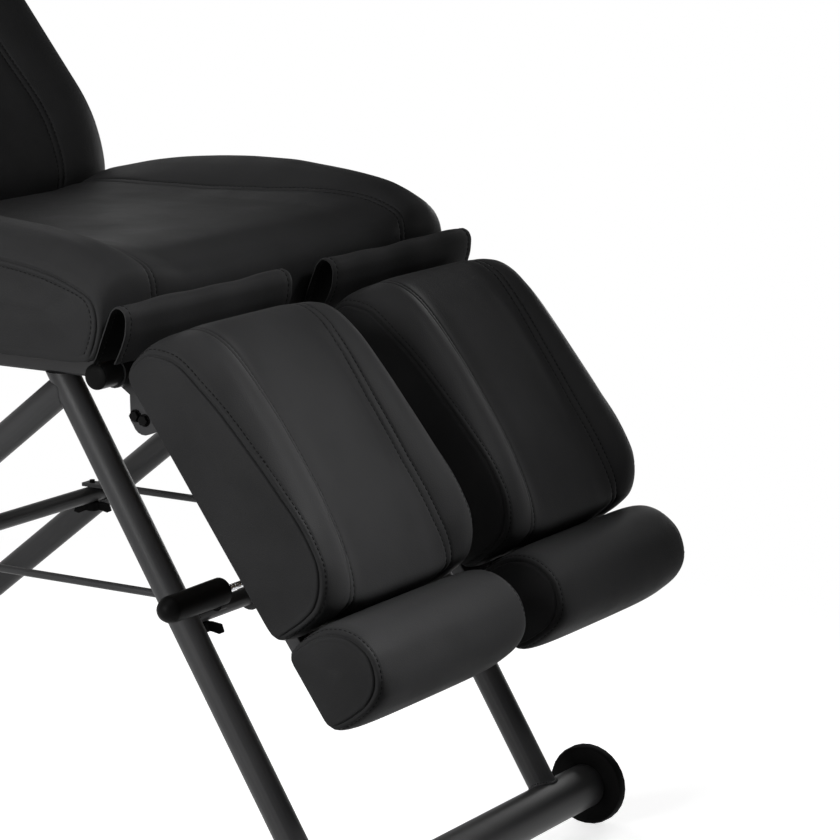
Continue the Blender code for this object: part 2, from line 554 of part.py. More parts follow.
for side, sign in SIDES:
    mid = sign * PAD_MID
    leg_parts = []
    for place, step in (("outer", sign), ("inner", -sign)):
        leg_parts.append(hinged_rail(f"leg_rail_{place}_{side}", mid + step * FRAME_Y, 0.296, LEG))
    reach = PAD_HALF - 0.022
    leg_parts.append(box(f"leg_board_{side}", (0.036, mid - reach, PAD_BASE),
                         (0.290, mid + reach, PAD_BASE + BOARD), WOOD, 0.002, matrix=LEG))
    pad = loft(f"leg_pad_{side}", padded_sections(PAD_SIDE, PAD_CROWN, mid, 0.004, PAD_SINK), LEATHER, LEG)
    pocket(pad, (0.036 - GAP, mid - reach - GAP, PAD_BASE - 0.01),
           (0.290 + GAP, mid + reach + GAP, PAD_BASE + BOARD + GAP), LEG)
    leg_parts.append(pad)
    strut_y = sign * STRUT_Y
    lug_top = PAD_BASE - GAP
    lug = box(f"strut_lug_{side}", (STRUT_L - 0.016, strut_y - LUG_Y - LUG, lug_top - LUG),
              (STRUT_L + 0.016, strut_y + LUG_Y + LUG, lug_top), COAT, matrix=LEG)
    outline = [(STRUT_L - 0.016, lug_top), (STRUT_L - 0.013, STRUT_N)]
    outline += arc(STRUT_L, STRUT_N - 0.001, 0.0125, 180, 360, 9)
    outline += [(STRUT_L + 0.013, STRUT_N), (STRUT_L + 0.016, lug_top)]
    for step in (-1, 1):
        ear = LEG @ Matrix.Translation((0, strut_y + step * (LUG_Y + LUG / 2), 0)) @ FLAT_XZ
        boolean(lug, plate(f"strut_lug_{side}_ear{step}", outline, [(STRUT_L, STRUT_N, STRUT_EYE)], LUG, None,
                           ear, CUTTERS), "UNION")
    leg_parts.append(lug)
    hang(f"leg_pivot_{side}", (LEG_HINGE[0], mid, LEG_HINGE[1]), leg_parts)

    # Foot cushion on a board carried by two rods that slide in the leg rails
    foot_parts = []
    for place, step in (("outer", sign), ("inner", -sign)):
        rod_y = mid + step * FRAME_Y
        foot_parts.append(cylinder(f"foot_slide_{place}_{side}", (SLIDE_IN, rod_y, FRAME_N),
                                   (SLIDE_OUT, rod_y, FRAME_N), SLIDE_R, STEEL, 20, matrix=LEG))
    reach = PAD_HALF - 0.028
    foot_parts.append(box(f"foot_board_{side}", (0.325, mid - reach, FRAME_N + SLIDE_R + GAP),
                          (0.394, mid + reach, FOOT_TOP), WOOD, 0.002, matrix=LEG))
    cushion = loft(f"foot_cushion_{side}", padded_sections(FOOT_SIDE, FOOT_CROWN, mid, 0.005), LEATHER, LEG)
    pocket(cushion, (0.325 - GAP, mid - reach - GAP, FOOT_BASE - 0.01),
           (0.394 + GAP, mid + reach + GAP, FOOT_TOP + GAP), LEG)
    foot_parts.append(cushion)
    hang(f"foot_pivot_{side}", LEG @ Vector((0.350, mid, FRAME_N)), foot_parts)

    # Gas strut: barrel turning on the front cross tube, rod with a cross pin in the lugs
    at = Matrix.Translation((0, strut_y, 0)) @ STRUT
    barrel = cylinder(f"strut_barrel_{side}", (0, 0, 0.006), (0, 0, BARREL_END), BARREL_R, COAT, matrix=at)
    eye = cylinder(f"strut_barrel_{side}_eye", (front_cross[0], strut_y - STRUT_HALF, CROSS_Z),
                   (front_cross[0], strut_y + STRUT_HALF, CROSS_Z), 0.014, segments=24, coll=CUTTERS)
    boolean(barrel, eye, "UNION")
    cut_round(barrel, (front_cross[0], strut_y - 0.05, CROSS_Z), (front_cross[0], strut_y + 0.05, CROSS_Z),
              CROSS_R + RUN, 24)
    boolean(barrel, cylinder(f"strut_barrel_{side}_bore", (0, 0, STRUT_ROD_IN - 0.010),
                             (0, 0, BARREL_END + 0.02), STRUT_ROD_R + RUN, coll=CUTTERS, matrix=at))
    rod = cylinder(f"strut_rod_{side}", (0, 0, STRUT_ROD_IN), (0, 0, strut_len), STRUT_ROD_R, STEEL, 20,
                   matrix=at)
    pin_half = LUG_Y + LUG + 0.002
    boolean(rod, cylinder(f"strut_rod_{side}_pin", (strut_pin.x, strut_y - pin_half, strut_pin.z),
                          (strut_pin.x, strut_y + pin_half, strut_pin.z), STRUT_PIN_R, coll=CUTTERS), "UNION")
    hang(f"strut_pivot_{side}", (strut_foot.x, strut_y, strut_foot.z), [barrel])
    hang(f"strut_slide_{side}", at @ Vector((0, 0, BARREL_END)), [rod])

    # Release lever: arm on the front cross tube, cross rod and grip
    arm_y = sign * LEVER_Y
    dx, dz = LEVER[0] - front_cross[0], LEVER[1] - CROSS_Z
    lean = math.degrees(math.atan2(dz, dx))
    outline = arc(0, 0, 0.015, lean + 75, lean + 285, 13) + arc(dx, dz, 0.009, lean - 80, lean + 80, 9)
    arm = plate(f"lever_arm_{side}", outline, [(0, 0, CROSS_R + RUN), (dx, dz, LEVER_R + GAP)], 0.006, COAT,
                Matrix.Translation((front_cross[0], arm_y, CROSS_Z)) @ FLAT_XZ)
    rod = cylinder(f"lever_rod_{side}", (LEVER[0], arm_y - sign * 0.006, LEVER[1]),
                   (LEVER[0], sign * (GRIP_OUT - 0.015), LEVER[1]), LEVER_R, STEEL, 16)
    bore = GRIP_OUT - 0.014
    dome = [(GRIP_R * math.sin(math.radians(a)), GRIP_OUT - GRIP_R * (1 - math.cos(math.radians(a))))
            for a in (0, 25, 50, 75, 90)]
    grip_profile = dome + [(GRIP_R + 0.0006, GRIP_IN + 0.015), (GRIP_R + 0.0006, GRIP_IN + 0.003),
                           (GRIP_R - 0.003, GRIP_IN), (LEVER_R + GAP, GRIP_IN), (LEVER_R + GAP, bore),
                           (0.0, bore)]
    turn = Matrix.Translation((LEVER[0], 0, LEVER[1])) @ Matrix.Rotation(-sign * math.pi / 2, 4, "X")
    grip = revolved(f"lever_grip_{side}", grip_profile, PLASTIC, turn, 24)
    lobe = arc(0.002, -0.0105, 0.0065, 180, 360, 7) + [(0.0095, 0.001), (0.006, 0.006), (-0.006, 0.006)]
    knuckle = Matrix.Translation((LEVER[0], sign * (GRIP_IN + 0.0075), LEVER[1])) @ FLAT_XZ
    boolean(grip, plate(f"{grip.name}_knuckle", lobe, [(0, 0, LEVER_R + 0.002)], 0.0110, None, knuckle,
                        CUTTERS), "UNION")
    bpy.context.view_layer.update()
    hang(f"lever_pivot_{side}", (front_cross[0], arm_y, CROSS_Z), [arm, rod, grip])


# Backrest: brackets, rails, cross bar, board, cushion

back_parts = []
for side, sign in SIDES:
    back_parts.append(hinged_rail(f"back_rail_{side}", -sign * BACK_Y, BACK_TOP - BACK_RAIL_TOP, BACK))
reach = BACK_Y - FRAME_R - GAP
bar_top = BACK_TOP - BACK_BAR_TOP
back_parts.append(box("back_cross_bar", (bar_top - BACK_BAR_W, -reach, FRAME_N - 0.008),
                      (bar_top, reach, PAD_BASE - GAP), COAT, 0.002, matrix=BACK))
board_half = BACK_HALF - BACK_BOARD_IN
BACK_BOARD = (Vector((BACK_LOW + BACK_BOARD_LOW, -board_half, PAD_BASE)),
              Vector((BACK_TOP - BACK_BOARD_TOP, board_half, PAD_BASE + BOARD)))
back_parts.append(box("back_board", *BACK_BOARD, WOOD, 0.002, matrix=BACK))


BACK_ROLL = ((0.0, 0.30), (0.004, 0.50), (0.0165, 0.70), (0.036, 0.82), (0.058, 0.91), (0.080, 0.97))


def back_top(u, y):
    rise = smooth((abs(y) - BACK_HALF + BACK_BOLSTER) / BACK_RISE) * smooth((0.700 - u) / 0.30)
    return 0.128 + 0.022 * rise - edge_drop(y, BACK_HALF)


def back_section(y, pull):
    round_in = max(0.0, (abs(y) - BACK_HALF + BACK_CORNER) / BACK_CORNER)
    top_u = BACK_TOP - BACK_CORNER_H * (1 - math.sqrt(1 - min(1.0, round_in) ** 2 * 0.98))
    low = [(BACK_LOW + 0.010, PAD_BASE), (BACK_LOW + 0.001, PAD_BASE + 0.010)]
    high = back_top(BACK_LOW + 0.09, y)
    low += [(BACK_LOW + u, PAD_BASE + (high - PAD_BASE) * v) for u, v in BACK_ROLL]
    upper = [(u, back_top(u, y)) for u in np.linspace(BACK_LOW + 0.110, top_u - 0.050, 9)]
    high = back_top(top_u - 0.05, y)
    end = [(top_u - 0.046 * (1 - math.sin(math.radians(a))),
            high - 0.046 * (1 - math.cos(math.radians(a)))) for a in (30, 60, 85)]
    end += [(top_u - 0.002, PAD_BASE + 0.016), (top_u - 0.010, PAD_BASE)]
    mid_u = (BACK_LOW + BACK_TOP) / 2
    out = []
    for u, v in low + upper + end:
        u = u - math.copysign(pull, u - mid_u) * smooth(abs(u - mid_u) / 0.3)
        out.append((u, y, v - pull * smooth((v - PAD_BASE) / 0.06)))
    return out


back_cushion = loft("back_cushion", cushion_sections(back_section, BACK_HALF), LEATHER, BACK)
pocket(back_cushion, BACK_BOARD[0] - Vector((GAP, GAP, 0.01)), BACK_BOARD[1] + Vector((GAP, GAP, GAP)), BACK)
back_parts.append(back_cushion)
hang("back_pivot", (BACK_HINGE[0], 0, BACK_HINGE[1]), back_parts)


# Flaps: standing loops of upholstery sheet between the seat and the leg rests

FLAP_LINE = ((0.3035, 0.5740), (0.3066, 0.5810), (0.3134, 0.5960), (0.3187, 0.6075), (0.3225, 0.6165),
             (0.3267, 0.6250), (0.3330, 0.6292), (0.3400, 0.6262), (0.3432, 0.6180), (0.3432, 0.6070),
             (0.3403, 0.5945), (0.3355, 0.5840), (0.3312, 0.5760))


def offset_line(line, d):
    pts = np.array(line)
    tangent = np.gradient(pts, axis=0)
    tangent /= np.linalg.norm(tangent, axis=1)[:, None]
    return pts + d * np.column_stack((-tangent[:, 1], tangent[:, 0]))


flap_ring = list(offset_line(FLAP_LINE, FLAP / 2)) + list(offset_line(FLAP_LINE, -FLAP / 2))[::-1]
for side, sign in SIDES:
    ends = (sign * FLAP_IN, sign * FLAP_OUT)
    loft(f"flap_{side}", [[(x, y, z) for x, z in flap_ring] for y in ends], LEATHER)
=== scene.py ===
"""Looks of the beauty treatment chair: upholstery, coatings, small hardware, stage and camera."""

import itertools
import json
import math

import bmesh
import bpy
import numpy as np
from mathutils import Matrix, Vector


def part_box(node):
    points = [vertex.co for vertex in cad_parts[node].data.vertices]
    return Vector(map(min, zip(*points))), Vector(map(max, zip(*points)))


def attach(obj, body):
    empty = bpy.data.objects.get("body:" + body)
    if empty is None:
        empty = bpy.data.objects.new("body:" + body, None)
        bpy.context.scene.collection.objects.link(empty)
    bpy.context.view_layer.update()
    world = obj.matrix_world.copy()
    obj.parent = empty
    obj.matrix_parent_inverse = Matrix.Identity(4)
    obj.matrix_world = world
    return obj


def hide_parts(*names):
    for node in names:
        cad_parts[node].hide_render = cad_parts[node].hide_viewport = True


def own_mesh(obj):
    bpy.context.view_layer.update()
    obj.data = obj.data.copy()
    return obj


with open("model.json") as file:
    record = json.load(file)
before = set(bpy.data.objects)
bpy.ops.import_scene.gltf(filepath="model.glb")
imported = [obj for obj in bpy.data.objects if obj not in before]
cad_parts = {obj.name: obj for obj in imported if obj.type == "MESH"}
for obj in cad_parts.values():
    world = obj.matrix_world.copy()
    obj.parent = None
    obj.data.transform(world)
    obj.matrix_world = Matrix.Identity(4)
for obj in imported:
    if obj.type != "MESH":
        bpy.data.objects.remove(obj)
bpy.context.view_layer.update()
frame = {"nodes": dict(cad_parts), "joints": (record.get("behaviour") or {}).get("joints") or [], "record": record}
NODES = frame["nodes"]
JOINTS = {joint["name"]: joint for joint in frame["joints"]}
SLOT = {part["node"]: part["material_slot"] for part in frame["record"]["subparts"]}
SIDES = (("right", -1), ("left", 1))

# Sizes of the cushions, metres and degrees
BACK_SLOPE = 52.0           # backrest above level at rest
FULLER = 0.0014             # panels stand this far above the solids before they swell
EDGE_DROP = 0.0006          # while their edges and seams are drawn in
SEAM_DROP = 0.0030
SPINE = 0.0004              # half height of the line on which a side panel's rings close
BULGE_POWER = 0.75          # how steeply a side panel rises from its edge
ROLL_END = 0.040            # bolsters rise to their full roll over this length
BOARD_REVEAL = 0.0025       # upholstery stands back this far behind its carrier board
REVEAL_RUN = 0.003          # reached this far in from the board's edge

# Heights over a cushion's base
BASE_HEIGHT = 0.005         # what lies lower belongs to the base
HELD_HEIGHT = 0.004         # the filled cloth is held up to here
SEAM_START = 0.004          # seams start here and have their full depth after a further rise
SEAM_RISE = 0.008

# Half distance between the double seams of a cushion, against the place along it
PAD_SEAMS = ((0.00, 0.085), (0.06, 0.079), (0.13, 0.0745), (0.20, 0.0745), (0.26, 0.079), (0.31, 0.086))
SEAT_SEAMS = ((-0.128, 0.214), (-0.08, 0.207), (0.0, 0.195), (0.08, 0.190), (0.15, 0.195), (0.21, 0.206),
              (0.26, 0.218), (0.30, 0.220), (0.313, 0.219))
BACK_SEAMS = ((0.02, 0.214), (0.20, 0.200), (0.40, 0.190), (0.60, 0.184), (0.75, 0.178))

# Places along a cushion and its share of swelling there: none where seat and raised leg rest meet
ALL_OVER = ((0.0,), (1.0,))
SEAT_SWELLS = ((0.262, 0.296), (1.0, 0.0))
PAD_SWELLS = ((0.034, 0.070), (0.0, 1.0))

# Stitches; a stitch's rings have a place along it, a share of its radius and a height
STITCH_PITCH = 0.0052
STITCH_LENGTH = 0.0036
STITCH_R = 0.00048
STITCH_LIFT = 0.0001
STITCH_RINGS = ((-0.5, 0.45, -0.0004), (-0.34, 1.0, 0.0), (0.34, 1.0, 0.0), (0.5, 0.45, -0.0004))
STITCH_SIDES = 6
SEAM_HALF = 0.0042          # stitch rows on each side of a double seam
EDGE_ROW = 0.0066           # stitch row beside a panel edge

# Depth and width of the dents and ridges at edges, seams and hems
EDGE_CREASE = (0.0019, 0.0011)
EDGE_ROW_DENT = (0.0007, 0.0012)
NEAR_RIDGE = (0.0005, 0.0022)
FAR_RIDGE = (0.0004, 0.0022)
NEAR_SHARE = 0.5            # the ridges lie at these shares of the way from the crease to its stitch row
FAR_SHARE = -0.45
SEAM_VALLEY = (0.0012, 0.0125)
SEAM_ROW_DENT = (0.0008, 0.0012)
SEAM_RIDGE = (0.0004, 0.0022)
HEM_DENT = (0.00035, 0.0012)

# Grids of the cushions
LEAST_TURN = 0.012          # corners of a CAD outline that turn less, as a sine, lie on a flat facet
LEAST_SECTION = 0.4         # rings of corners lower than this share of a cushion are no sections of it
FLAT_BASE = 0.0006          # corners of a section this near its lowest one lie on its base
TRACE_POINTS = 1200         # points along an outline before it is spaced evenly
BASE_STEP = 3               # steps between the points of the base, which stays hidden
COARSE = 3                  # points of the finished outline to one point of the simulated cloth
WRAP = 4                    # points of the cloth repeated past each end of its outline
CLOTH_RINGS = 6             # rings of the simulated cloth on a side panel
CLOTH_SPINE = 0.003         # half height of the last of them
CLOTH_FRAMES = 20
LINE_ROOM = 0.6             # share of a step that an even line keeps from a special one
EDGE_STEPS = (0, 0.0005, 0.0011, 0.0019, 0.0029, 0.0040, 0.0051, 0.0059, 0.0066, 0.0073, 0.0082, 0.0096,
              0.012, 0.016)
SEAM_STEPS = (0, 0.0012, 0.0024, 0.0034, 0.0042, 0.0050, 0.0060, 0.0078, 0.0105, 0.0145, 0.020)
PANEL_STEPS = (0, 0.0006, 0.0014, 0.0024, 0.0036, 0.0050, 0.0060, 0.0066, 0.0072, 0.0084, 0.0105, 0.014,
               0.019)

# Line of a flap sheet across X and Z, from the seat side over the top to the leg rest side
FLAP_LINE = ((0.3037, 0.5742), (0.3082, 0.5810), (0.3140, 0.5960), (0.3187, 0.6075), (0.3225, 0.6165),
             (0.3267, 0.6250), (0.3330, 0.6292), (0.3400, 0.6262), (0.3432, 0.6180), (0.3424, 0.6070),
             (0.3385, 0.5945), (0.3335, 0.5840), (0.3292, 0.5762))
FLAP_POINTS = 90
FLAP_SHEET = 0.0022
FLAP_THIN = 0.55            # share of the thickness that is left at the rounded ends
FLAP_ROUND = 0.0015
FLAP_STEP = 0.006
HEM = 0.0075                # stitch row in from an end of a flap
HEM_STEPS = (0, 0.0004, 0.0015, 0.006, HEM, 0.009)
SLACK_FROM = 0.578          # a flap waves above this height, fully after a further rise
SLACK_RISE = 0.03
LONG_WAVE = (0.0007, 9.0)   # height of a wave, and its turn in radians over the flap's length
SHORT_WAVE = (0.0005, 21.0)

# Bolts of the hinge plates: holes along the rest and square to it, profiles as radius and height
HEX = 6
PLATE_HALF = 0.003
PLATE_HOLES = ((0.0433, -0.0115), (0.0520, -0.0050))
SHANK = 0.0027
WASHER = ((0, PLATE_HALF), (0.0060, PLATE_HALF), (0.0062, 0.0034), (0.0062, 0.0037), (0.0060, 0.0040),
          (0, 0.0040))
HEAD = ((0, 0.0040), (0.0054, 0.0040), (0.0055, 0.0044), (0.0055, 0.0066), (0.0049, 0.0075), (0, 0.0076))
NUT = ((0, -0.0060), (0.0050, -0.0060), (0.0054, -0.0055), (0.0054, -PLATE_HALF), (0, -PLATE_HALF))
THREAD_END = ((0, -0.0085), (0.0022, -0.0085), (SHANK, -0.0079), (SHANK, PLATE_HALF), (0, PLATE_HALF))

# Bar under the lower end of each leg board, across its two rails
LEG_BAR = (0.285, 0.317)
BAR_DEPTH = 0.0150
BAR_ROUND = 0.0015
BAR_REACH = {-1: 0.052, 1: 0.020}       # beyond the rails, towards the middle of the chair and away from it
RAIL_CLEAR = 0.0102         # from a rail's axis
BOARD_CLEAR = 0.0002

# Plugs of the seat rails: their reach, their gap to the rail's end and how far inside its faces they stay
PLUG_OUT = 0.0028
PLUG_CLEAR = 0.0002
PLUG_INSIDE = 0.0006
PLUG_ROUND = 0.0011

# Weld beads
BEAD_R = 0.0021
BEAD_STEPS = 96
BEAD_SIDES = 8
RIPPLE = 0.0027             # length of a ripple, and its share of the radius
RIPPLE_SHARE = 0.16

# Shading: edges that turn less are shown round
ROUND_CAD = 32
ROUND_BITS = 38
ROUND_SHEET = 50

# Floor: half its length, and the distances between which it turns into the white surroundings
FLOOR_REACH = 14.0
WHITE_FROM = 0.5
WHITE_AT = 1.3

# The camera stands where the photograph was taken; its focal length is in pixels of an 840 pixel frame
EYE = Vector((2.165, -2.713, 1.132))
VIEW = Vector((-0.5195, 0.8313, -0.1977))
FOCAL_PIXELS = 3331.0
FRAME_PIXELS = 840.0


def slope_frame(origin, along):
    """Frame whose X runs along a rest and whose Z points out of its upholstery."""
    x = Vector(along).normalized()
    z = Vector((abs(x.z), 0, abs(x.x)))
    out = Matrix.Identity(4)
    for i, axis in enumerate((x, z.cross(x), z)):
        out.col[i][:3] = axis
    out.col[3][:3] = (origin[0], 0, origin[2])
    return out


LEG = slope_frame(JOINTS["leg_lift_right"]["pos_m"], JOINTS["foot_extend_right"]["axis"])
slope = math.radians(BACK_SLOPE)
BACK = slope_frame(JOINTS["backrest_recline"]["pos_m"], (-math.cos(slope), 0, math.sin(slope)))
LEVEL = Matrix.Identity(4)


# Curves and sections

def smooth(t):
    """From 0 to 1 without a kink, as t does."""
    t = np.clip(t, 0.0, 1.0)
    return t * t * (3 - 2 * t)


def run_along(points):
    """Distance of each point from the first, along the line through them."""
    return np.concatenate(([0], np.cumsum(np.linalg.norm(np.diff(points, axis=0), axis=1))))


def spline(xs, ys):
    """Curve through ys, which run along their first axis at xs, that never swings past its points."""
    xs = np.asarray(xs, float)
    ys = np.asarray(ys, float)
    h = np.diff(xs)
    n = len(xs)
    wide = h.reshape((-1,) + (1,) * (ys.ndim - 1))
    rate = np.diff(ys, axis=0) / wide
    one, two = rate[:-1], rate[1:]
    first, second = wide[:-1] + 2 * wide[1:], 2 * wide[:-1] + wide[1:]
    level = one * two <= 0
    between = (first + second) / (first / np.where(level, 1, one) + second / np.where(level, 1, two))
    m = np.concatenate((rate[:1], np.where(level, 0, between), rate[-1:]))

    def value(q, *pick):
        """At each q; pick holds indices into the other axes of ys, of the same shape as q."""
        q = np.clip(q, xs[0], xs[-1])
        i = np.clip(np.searchsorted(xs, q) - 1, 0, n - 2)
        lo, hi = (i, *pick), (i + 1, *pick)
        shape = q.shape + (1,) * (ys[lo].ndim - q.ndim)
        s = ((q - xs[i]) / h[i]).reshape(shape)
        step = h[i].reshape(shape)
        return (ys[lo] * (1 + 2 * s) * (1 - s) ** 2 + ys[hi] * s ** 2 * (3 - 2 * s)
                + step * (m[lo] * s * (1 - s) ** 2 - m[hi] * s ** 2 * (1 - s)))

    return value


def hull(points):
    """Convex outline of points in a plane, anticlockwise, with its true corners only."""
    points = sorted(set(map(tuple, points)))

    def turn(a, b, c):
        ab, bc = np.subtract(b, a), np.subtract(c, b)
        return (ab[0] * bc[1] - ab[1] * bc[0]) / max(np.hypot(*ab) * np.hypot(*bc), 1e-12)

    def half(run):
        out = []
        for p in run:
            while len(out) > 1 and turn(out[-2], out[-1], p) <= 1e-6:
                out.pop()
            out.append(p)
        return out[:-1]

    ring = half(points) + half(points[::-1])
    return [p for a, p, b in zip(ring[-1:] + ring, ring, ring[1:] + ring[:1]) if turn(a, p, b) > LEAST_TURN]


def read_sections(node, place):
    """Outer outlines of a CAD cushion, one for each Y at which its solid has a ring of corners."""
    back = np.array(place.inverted())
    mesh = NODES[node].data
    co = np.array([v.co for v in mesh.vertices])
    flat = (co @ back[:3, :3].T + back[:3, 3])[:, [0, 2]]
    ends = np.array([e.vertices for e in mesh.edges])
    levels = np.round(co[:, 1], 4)
    found = []
    for y in np.unique(levels):
        ring = flat[levels == y]
        a, b = levels[ends[:, 0]] - y, levels[ends[:, 1]] - y
        through = (a * b < 0)
        share = (a[through] / (a[through] - b[through]))[:, None]
        cut = flat[ends[through, 0]] * (1 - share) + flat[ends[through, 1]] * share
        if np.ptp(ring[:, 1]) > LEAST_SECTION * np.ptp(flat[:, 1]):
            found.append((y, hull(np.round(np.vstack((ring, cut)), 5))))
    return found


def even_outline(ring, over, under):
    """A section's outline at over points across its top and under points along its flat base."""
    ring = np.array(ring)
    flat = np.where(ring[:, 1] < ring[:, 1].min() + FLAT_BASE)[0]
    start = flat[np.argmax(ring[flat, 0])]
    end = flat[np.argmin(ring[flat, 0])]
    path = np.roll(ring, -start, axis=0)[:(end - start) % len(ring) + 1]
    chord = run_along(path)
    fine = spline(chord, path)(np.linspace(0, chord[-1], TRACE_POINTS))
    run = run_along(fine)
    at = np.linspace(0, run[-1], over)
    top = np.column_stack([np.interp(at, run, fine[:, k]) for k in (0, 1)])
    share = np.linspace(0, 1, under + 2)[1:-1, None]
    return np.vstack((top, top[-1] + (top[0] - top[-1]) * share))


def soften(grid, axis, wrap, passes):
    """Each value drawn to its neighbours along an axis, which is closed or keeps its two ends."""
    for _ in range(passes):
        before, after = np.roll(grid, 1, axis), np.roll(grid, -1, axis)
        new = 0.5 * grid + 0.25 * (before + after)
        if not wrap:
            keep = [slice(None)] * grid.ndim
            for i in (0, -1):
                keep[axis] = i
                new[tuple(keep)] = grid[tuple(keep)]
        grid = new
    return grid


def ease(grid):
    """Values of a grid drawn together round its outline and across its lines."""
    return soften(soften(grid, 0, True, 2), 1, False, 1)


def normals_of(grid):
    """Outward normals of a grid that closes round its first axis."""
    d0 = np.roll(grid, -1, 0) - np.roll(grid, 1, 0)
    d1 = np.gradient(grid, axis=1)
    n = np.cross(d0, d1)
    n /= np.maximum(np.linalg.norm(n, axis=2, keepdims=True), 1e-12)
    centre = grid.reshape(-1, 3).mean(0)
    if np.sum(n * (grid - centre)) < 0:
        n = -n
    return n


# Meshes

def link(name, data):
    """Object of this data in the scene."""
    ob = bpy.data.objects.new(name, data)
    bpy.context.scene.collection.objects.link(ob)
    return ob


def outward_mesh(name, verts, faces):
    """Mesh whose faces are turned outwards."""
    mesh = bpy.data.meshes.new(name)
    mesh.from_pydata([tuple(v) for v in verts], [], faces)
    bm = bmesh.new()
    bm.from_mesh(mesh)
    bmesh.ops.recalc_face_normals(bm, faces=bm.faces)
    bm.to_mesh(mesh)
    bm.free()
    return mesh


def smooth_object(name, mesh, material, sharp=None):
    """Object with smooth faces, and sharp edges where they turn more than the given angle."""
    mesh.polygons.foreach_set("use_smooth", [True] * len(mesh.polygons))
    if sharp:
        mesh.set_sharp_from_angle(angle=math.radians(sharp))
    mesh.materials.append(material)
    return link(name, mesh)


def grid_faces(count, lines):
    """Quads of a grid closed round count, with its two end rings filled."""
    faces = []
    for j in range(lines - 1):
        for i in range(count):
            k = (i + 1) % count
            faces.append((i * lines + j, k * lines + j, k * lines + j + 1, i * lines + j + 1))
    faces.append([i * lines for i in range(count)])
    faces.append([i * lines + lines - 1 for i in range(count)])
    return faces


def settle(grid, pins, cap):
    """Cloth under pressure, held at the pinned points: how far each point swells, up to the cap."""
    mesh = outward_mesh("swelling", grid.reshape(-1, 3), grid_faces(*grid.shape[:2]))
    ob = link("swelling", mesh)
    scene = bpy.context.scene
    group = ob.vertex_groups.new(name="held")
    for i in np.flatnonzero(pins.reshape(-1)):
        group.add([int(i)], 1.0, "REPLACE")
    cloth = ob.modifiers.new("cloth", "CLOTH")
    cloth.settings.quality = 6
    cloth.settings.mass = 0.25
    cloth.settings.tension_stiffness = 25
    cloth.settings.compression_stiffness = 25
    cloth.settings.shear_stiffness = 10
    cloth.settings.bending_stiffness = 2
    cloth.settings.use_pressure = True
    cloth.settings.uniform_pressure_force = 4
    cloth.settings.vertex_group_mass = "held"
    cloth.settings.effector_weights.gravity = 0
    cloth.collision_settings.use_collision = False
    for step in range(1, CLOTH_FRAMES + 1):
        scene.frame_set(step)
    deps = bpy.context.evaluated_depsgraph_get()
    result = ob.evaluated_get(deps).to_mesh()
    co = np.zeros(len(mesh.vertices) * 3, np.float32)
    result.vertices.foreach_get("co", co)
    ob.evaluated_get(deps).to_mesh_clear()
    scene.frame_set(1)
    bpy.data.objects.remove(ob, do_unlink=True)
    bpy.data.meshes.remove(mesh)
    moved = co.reshape(grid.shape).astype(float) - grid
    length = np.linalg.norm(moved, axis=2, keepdims=True)
    return moved * np.minimum(1, cap / np.maximum(length, 1e-9))


def stitches(name, rows, material):
    """Threads along rows; each row has its points, their surface normals and which points are sewn."""
    verts, faces = [], []
    turns = [2 * math.pi * k / STITCH_SIDES for k in range(STITCH_SIDES)]
    for points, ups, sewn in rows:
        step = np.linalg.norm(np.diff(points, axis=0), axis=1)
        run = run_along(points)
        for at in np.arange(STITCH_PITCH / 2, run[-1], STITCH_PITCH):
            i = min(np.searchsorted(run, at), len(run) - 1)
            if not (sewn[i] and sewn[max(i - 1, 0)]):
                continue
            share = (at - run[i - 1]) / max(run[i] - run[i - 1], 1e-9)
            along = (points[i] - points[i - 1]) / max(step[i - 1], 1e-9)
            up = ups[i] - along * np.dot(ups[i], along)
            up /= np.linalg.norm(up)
            across = np.cross(along, up)
            centre = points[i - 1] + (points[i] - points[i - 1]) * share + up * STITCH_LIFT
            first = len(verts)
            for place, width, height in STITCH_RINGS:
                for turn in turns:
                    verts.append(centre + along * (place * STITCH_LENGTH) + up * height
                                 + (across * math.cos(turn) + up * math.sin(turn)) * STITCH_R * width)
            for ring in range(len(STITCH_RINGS) - 1):
                a = first + ring * STITCH_SIDES
                b = a + STITCH_SIDES
                for k in range(STITCH_SIDES):
                    n = (k + 1) % STITCH_SIDES
                    faces.append((a + k, a + n, b + n, b + k))
            last = len(verts) - STITCH_SIDES
            faces.append([first + k for k in range(STITCH_SIDES)])
            faces.append([last + k for k in range(STITCH_SIDES)])
    return smooth_object(name, outward_mesh(name, verts, faces), material)


# Materials

def node_material(name):
    """Material, its node tree and its shader."""
    material = bpy.data.materials.new(name)
    material.use_nodes = True
    tree = material.node_tree
    return material, tree, tree.nodes["Principled BSDF"]


def texture(tree, kind, scale, stretch=None, **inputs):
    """Texture in object coordinates; stretch makes it finer along an axis."""
    node = tree.nodes.new(kind)
    node.inputs["Scale"].default_value = scale
    for key, value in inputs.items():
        node.inputs[key].default_value = value
    place = tree.nodes.get("Texture Coordinate") or tree.nodes.new("ShaderNodeTexCoord")
    spot = place.outputs["Object"]
    if stretch:
        change = tree.nodes.new("ShaderNodeMapping")
        change.inputs["Scale"].default_value = stretch
        tree.links.new(spot, change.inputs["Vector"])
        spot = change.outputs["Vector"]
    tree.links.new(spot, node.inputs["Vector"])
    return node


def ramp(tree, source, low, high, span=(0.35, 0.65)):
    """Colour ramp between two colours or two grey values."""
    node = tree.nodes.new("ShaderNodeValToRGB")
    for element, place, value in zip(node.color_ramp.elements, span, (low, high)):
        element.position = place
        element.color = (*value, 1) if isinstance(value, tuple) else (value, value, value, 1)
    tree.links.new(source, node.inputs["Fac"])
    return node.outputs["Color"]


